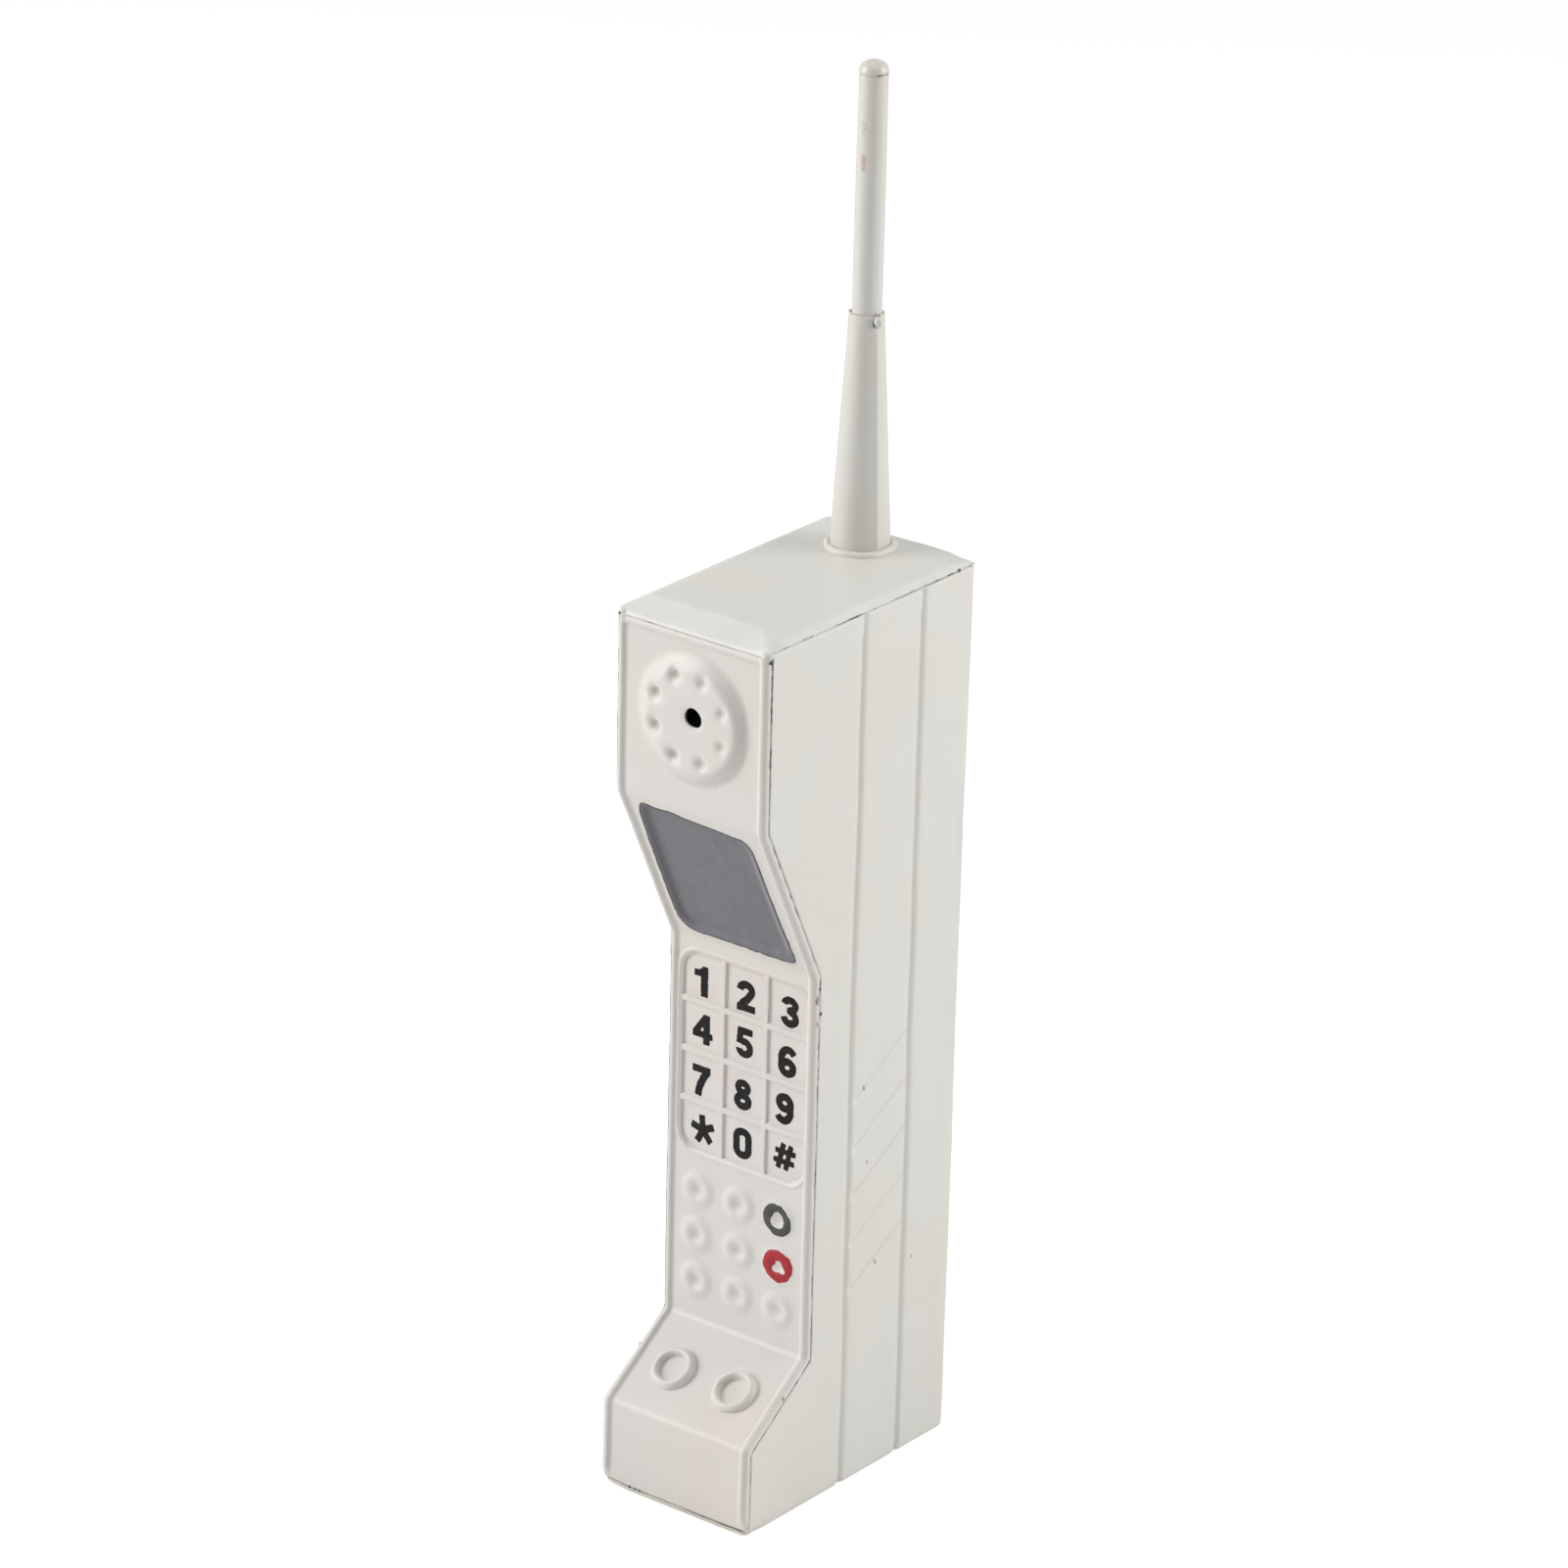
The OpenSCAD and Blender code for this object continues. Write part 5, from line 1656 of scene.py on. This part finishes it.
def build_keys():
    x_lines, y_lines = np.arange(-3.8, 3.81, 0.11), np.arange(-4.2, 4.21, 0.11)
    grid_x, grid_y = np.meshgrid(x_lines, y_lines)
    plan = np.stack([grid_x, grid_y], -1)
    verts, groups, count = [], {}, 0
    for k, (parts, printed) in enumerate(zip(GLYPHS, PRINTS), start=1):
        across, down, lean, stretch_x, stretch_y = printed
        field = np.min([part(grid_x, grid_y) for part in parts], axis=0)
        padded = np.pad(field, 1, mode="edge")
        field = (padded[1:-1, 1:-1] * 4 + padded[:-2, 1:-1] + padded[2:, 1:-1]
                 + padded[1:-1, :-2] + padded[1:-1, 2:]) / 8
        field = field - 0.17 + 0.03 * waves(plan, 200 + k, 1.5)
        points, polygons = fill(field, x_lines, y_lines)
        x, y = points[:, 0] * stretch_x, points[:, 1] * stretch_y
        cos, sin = math.cos(math.radians(lean)), math.sin(math.radians(lean))
        across, down = across + (x * cos - y * sin), down - (x * sin + y * cos)
        verts += [front_point(KEY_FACE, across, down, lift) for lift in (0.045, -0.10)]
        for faces in slab(polygons, len(points)):
            groups.setdefault(faces.shape[1], []).append(faces + count)
        count += 2 * len(points)
    keys = mesh_object("printed_keys", np.concatenate(verts),
                       [np.concatenate(group) for group in groups.values()], INK, sharp=60)
    place(keys, "key_numerals")


# ------------------------------------------------------------ aerial

LAP_ANGLE = math.atan2(-0.314, 0.951)   # where the rolled sheet overlaps


def wrapped(angle):
    return (angle + math.pi) % (2 * math.pi) - math.pi


def sleeve_shape(radius, z, angle):
    """Adds the lap's ridge and flats, slight waves and a chip in the mouth."""
    outside = radius > np.interp(z, [TOP_Z, MOUTH_Z], [6.4, 3.66])
    fade = smooth((MOUTH_Z - 0.8 - z) / 6)
    turn = wrapped(angle - LAP_ANGLE)
    ridge = 0.030 * bell(np.abs(turn), 0.11, power=1.5)
    flats = 0.022 * (bell(turn + 0.42, 0.30) + bell(turn - 0.42, 0.30))
    lapped = radius * (1 + ridge - flats) * fade + radius * (1 - fade)
    lapped = lapped + 0.03 * waves(
        np.stack([np.cos(angle) * 3, np.sin(angle) * 3, z / 9], -1), 301, 6.0)
    chip = (0.35 * bell(wrapped(angle - math.radians(-128)), 0.16)
            * smooth((z - MOUTH_Z + 0.7) / 0.7))
    return (np.where(outside, lapped - chip * 0.5, radius),
            np.where(outside, z - chip * 0.6, z - chip * 0.5 * (z > MOUTH_Z - 1)))


def build_sleeve():
    foot_r, wall = 6.8, 0.6
    heights = np.concatenate([[TOP_Z - 1.2, TOP_Z - 0.4, TOP_Z + 0.4],
                              np.linspace(TOP_Z + 1.4, MOUTH_Z - 2.2, 44),
                              [MOUTH_Z - d for d in (1.4, 0.9, 0.5, 0.28)]])
    outside = [(foot_r + (3.97 - foot_r) * (z - TOP_Z) / (MOUTH_Z - 0.3 - TOP_Z), z)
               for z in heights]
    # (radius, depth below the mouth), from the outside over the lip
    lip = [(3.95, 0.12), (3.88, 0.03), (3.78, 0), (3.62, 0), (3.47, 0.03), (3.395, 0.12),
           (3.395, 0.6), (3.42, 3.2)]
    inner_r = foot_r - wall
    inside = [(inner_r + (3.5 - inner_r) * (z - TOP_Z) / (MOUTH_Z - 3.2 - TOP_Z), z)
              for z in np.linspace(MOUTH_Z - 5, TOP_Z - 1.2, 14)]
    profile = outside + [(radius, MOUTH_Z - depth) for radius, depth in lip] + inside
    verts, faces = lathe(profile, 128, sleeve_shape)
    sleeve = mesh_object("aerial_sleeve", verts, faces, SLEEVE_PAINT,
                         {"seam": np.full(len(verts), 9.0)})
    place(sleeve, "antenna_sleeve")


def build_collar():
    """Bead of painted solder round the sleeve's foot."""
    segments = 128
    section = np.linspace(math.radians(-25), math.radians(205), 15)[:, None]
    turn = np.linspace(0, 2 * math.pi, segments, endpoint=False)
    circle = np.stack([np.cos(turn), np.sin(turn)], -1)
    fatness = 1 + 0.10 * waves(circle, 311, 1.3) + 0.04 * waves(circle, 312, 0.5)
    radius = 6.6 + (7.35 + 0.86 * np.cos(section) - 6.6) * fatness
    dip = bell(turn - math.radians(235), 0.07)
    x, y = AERIAL_X + radius * np.cos(turn), AERIAL_Y + radius * np.sin(turn)
    z = top_height(x, y) + ((0.10 + 1.12 * np.sin(section))
                            * (1 + 0.08 * waves(circle, 313, 1.1) - 0.45 * dip))
    z = np.maximum(z, CASE_Z + 0.35)
    points = np.stack([x, np.minimum(y, BACK_Y - 0.15), z], -1).reshape(-1, 3)
    collar = mesh_object("sleeve_collar_bead", points, ring_faces(*z.shape), TOP_PAINT,
                         {"seam": np.full(len(points), 9.0)}, sharp=70)
    place(collar, "antenna_collar")


def build_mouth_solder():
    """A painted lump at the sleeve's mouth, a painted shadow round it and a nick at the left."""
    blob("mouth_lump", (AERIAL_X + 4.12, AERIAL_Y - 1.42, MOUTH_Z - 1.20), (0.98, 0.95, 1.25),
         seed=321, rough=0.12, material=BLOB_PAINT, replaced="mouth_solder")
    # painted shadow: a larger dark blob behind the lump shows round its edge
    blob("mouth_lump_painted_shadow", (AERIAL_X + 3.82, AERIAL_Y - 1.30, MOUTH_Z - 1.28),
         (1.00, 1.12, 1.52), seed=325, rough=0.16, bare=0.65)
    blob("mouth_nick", (AERIAL_X - 3.05, AERIAL_Y - 2.15, MOUTH_Z + 0.02),
         (0.30, 0.30, 0.36), seed=325, rough=0.16, bare=0.65)


def rod_shape(radius, z, angle):
    """Adds the lap's shallow groove and slight dents to the outside."""
    groove = 0.03 * bell(np.abs(wrapped(angle - LAP_ANGLE + 0.05)), 0.10)
    points = np.stack([np.cos(angle) * 3, np.sin(angle) * 3, z / 8], -1)
    dent = 0.015 + 0.012 * waves(points, 331, 7.0)
    return np.where(radius > 3.0, radius - np.clip(groove + dent, 0, 0.3), radius), z


def build_rod():
    bore_r = 2.8
    heights = np.concatenate([[ROD_LOW_Z, ROD_LOW_Z + 0.3],
                              np.linspace(ROD_LOW_Z + 1.5, ROD_TOP_Z - 0.9, 46),
                              [ROD_TOP_Z - 0.4, ROD_TOP_Z - 0.12]])
    taper_z = MOUTH_Z + 25
    profile = [(3.35 - 0.15 * smooth((z - taper_z) / (ROD_TOP_Z - taper_z)), z)
               for z in heights]
    profile += [(3.10, ROD_TOP_Z), (bore_r, ROD_TOP_Z)]
    profile += [(bore_r, z) for z in np.linspace(ROD_TOP_Z - 3, ROD_LOW_Z, 10)]
    verts, faces = lathe(profile, 96, rod_shape)
    rod = mesh_object("aerial_rod_tube", verts, faces, ROD_PAINT)
    place(rod, "antenna_rod", rides="aerial")


def tip_shape(radius, z, angle):
    points = np.stack([np.cos(angle) * radius / 3, np.sin(angle) * radius / 3, z / 6], -1)
    return (radius * (1 + 0.006 * waves(points, 341, 1.3)),
            z + 0.04 * waves(points, 343, 1.6) * (z > ROD_TOP_Z + 1))


def build_tip():
    """The domed cap, with a plug down inside the rod."""
    # (radius, height over the rod's top), from the plug out to the dome
    plug = [(0.02, -2.6), (2.6, -2.6), (2.6, -0.1), (3.12, -0.02), (3.22, 0.08),
            (3.26, 0.2), (3.27, 0.35)]
    profile = [(radius, ROD_TOP_Z + height) for radius, height in plug]
    for turn in np.radians(np.linspace(6, 90, 15)):
        profile.append((max(3.27 * math.cos(turn) ** 0.90, 0.02),
                        ROD_TOP_Z + 0.35 + (TIP_Z - ROD_TOP_Z - 0.39) * math.sin(turn)))
    verts, faces = lathe(profile, 96, tip_shape)
    tip = mesh_object("aerial_tip_cap", verts, faces, ROD_PAINT)
    place(tip, "antenna_tip", rides="aerial")


def repaint_steel():
    """The two CAD rings inside the sleeve are kept, in bare steel."""
    for node in ("sleeve_washer", "rod_stop_ring"):
        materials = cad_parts[node].data.materials
        materials.clear()
        materials.append(STEEL)


# ------------------------------------------------------------ camera, floor, light

CAMERA_AZIMUTH, CAMERA_ELEVATION = math.radians(37.78), math.radians(22.79)
CAMERA_ROLL = math.radians(1.489)
# from the camera's aim, in mm: to its right, up, and back towards it
CAMERA_SHIFT = (-1.959, 54.64, 1747.0)


def direction(azimuth, elevation):
    """Unit vector from the telephone: azimuth turns from the front towards its right."""
    return Vector((math.sin(azimuth) * math.cos(elevation),
                   -math.cos(azimuth) * math.cos(elevation), math.sin(elevation)))


CAMERA_BACK = direction(CAMERA_AZIMUTH, CAMERA_ELEVATION)


def build_camera():
    back = CAMERA_BACK
    right = Vector((math.cos(CAMERA_AZIMUTH), math.sin(CAMERA_AZIMUTH), 0))
    up = back.cross(right)
    aim = Vector((0, 36.0 + EAR_Y, 106.0))
    shift_right, shift_up, shift_back = CAMERA_SHIFT
    eye = (aim + right * shift_right + up * shift_up + back * shift_back) * MM
    cos, sin = math.cos(CAMERA_ROLL), math.sin(CAMERA_ROLL)
    right, up = right * cos + up * sin, -right * sin + up * cos
    data = bpy.data.cameras.new("camera")
    data.lens = 179.88757
    data.sensor_width = 36
    data.clip_start, data.clip_end = 0.05, 50
    camera = bpy.data.objects.new("camera", data)
    bpy.context.scene.collection.objects.link(camera)
    camera.matrix_world = Matrix(((right.x, up.x, back.x, eye.x), (right.y, up.y, back.y, eye.y),
                                  (right.z, up.z, back.z, eye.z), (0, 0, 0, 1)))
    bpy.context.scene.camera = camera


def floor_material():
    """Near-white, and lifted a little where the camera sees it directly."""
    net = Shader("pale_floor")
    net.put("Base Color", net.mix(net.noise(0.004), (0.83, 0.83, 0.83), (0.85, 0.85, 0.85)))
    net.put("Roughness", 0.9)
    net.put("Specular IOR Level", 0.1)
    net.put("Emission Color", (1, 1, 1, 1))
    seen = net.add("LightPath").outputs["Is Camera Ray"]
    net.put("Emission Strength", net.times(seen, 0.45))
    return net.material


def build_floor():
    work = bmesh.new()
    bmesh.ops.create_grid(work, x_segments=8, y_segments=8, size=22.0)
    mesh = bpy.data.meshes.new("floor")
    work.to_mesh(mesh)
    work.free()
    link_object("floor", mesh, floor_material())


def build_world():
    """Soft surroundings, darker on the camera's side."""
    world = bpy.data.worlds.new("studio")
    bpy.context.scene.world = world
    world.use_nodes = True
    nodes, links = world.node_tree.nodes, world.node_tree.links
    nodes.clear()
    output = nodes.new("ShaderNodeOutputWorld")
    background = nodes.new("ShaderNodeBackground")
    coordinates = nodes.new("ShaderNodeTexCoord")
    facing = nodes.new("ShaderNodeVectorMath")
    facing.operation = "DOT_PRODUCT"
    facing.inputs[1].default_value = (CAMERA_BACK.x * 0.98, CAMERA_BACK.y * 0.98, 0.12)
    strength = nodes.new("ShaderNodeMapRange")
    strength.interpolation_type = "SMOOTHSTEP"
    for name, value in (("From Min", -0.1), ("From Max", 0.75), ("To Min", 0.52),
                        ("To Max", 0.12)):
        strength.inputs[name].default_value = value
    links.new(coordinates.outputs["Generated"], facing.inputs[0])
    links.new(facing.outputs["Value"], strength.inputs["Value"])
    links.new(strength.outputs[0], background.inputs["Strength"])
    background.inputs["Color"].default_value = (1, 0.995, 0.985, 1)
    links.new(background.outputs[0], output.inputs[0])


def softbox(name, azimuth, elevation, distance, size, power, colour=(1, 1, 1)):
    """An area light aimed at a point 0.12 m above the floor. Angles are in degrees."""
    towards = direction(math.radians(azimuth), math.radians(elevation))
    data = bpy.data.lights.new(name, "AREA")
    data.shape = "RECTANGLE"
    data.size, data.size_y = size
    data.energy = power
    data.color = colour
    light = bpy.data.objects.new(name, data)
    bpy.context.scene.collection.objects.link(light)
    light.location = Vector((0, 0, 0.12)) + towards * distance
    light.rotation_euler = towards.to_track_quat("Z", "Y").to_euler()


# ------------------------------------------------------------ building

build_front()
build_wrap()
build_top()
build_base()
build_base_edge()
build_seams()
build_ring_boss("left", phase=0.7)
build_ring_boss("right", phase=2.3)
ring_film("green", centre=(32.15, 61.4), outer=(3.95, 3.95), inner=(1.70, 1.85),
          shift=(0.05, 0.0), seed=101, material=GREEN, point=0.07)
ring_film("red", centre=(32.6, 72.65), outer=(4.25, 3.95), inner=(1.75, 1.35),
          shift=(0.3, 0.35), seed=105, material=RED, point=0.20)
build_display()
build_keys()
build_sleeve()
build_collar()
build_mouth_solder()
build_rod()
build_tip()
repaint_steel()

build_camera()
build_floor()
build_world()
softbox("key_left", azimuth=-46, elevation=24, distance=1.6, size=(1.0, 1.3), power=17.0,
        colour=(1, 0.985, 0.965))
softbox("side_right", azimuth=122, elevation=24, distance=1.6, size=(1.0, 1.3), power=14.0,
        colour=(1, 0.995, 0.985))
softbox("top", azimuth=20, elevation=84, distance=1.5, size=(1.1, 1.1), power=3.0)
view = bpy.context.scene.view_settings
view.view_transform = "Standard"
view.look = "None"
view.exposure = 0.0
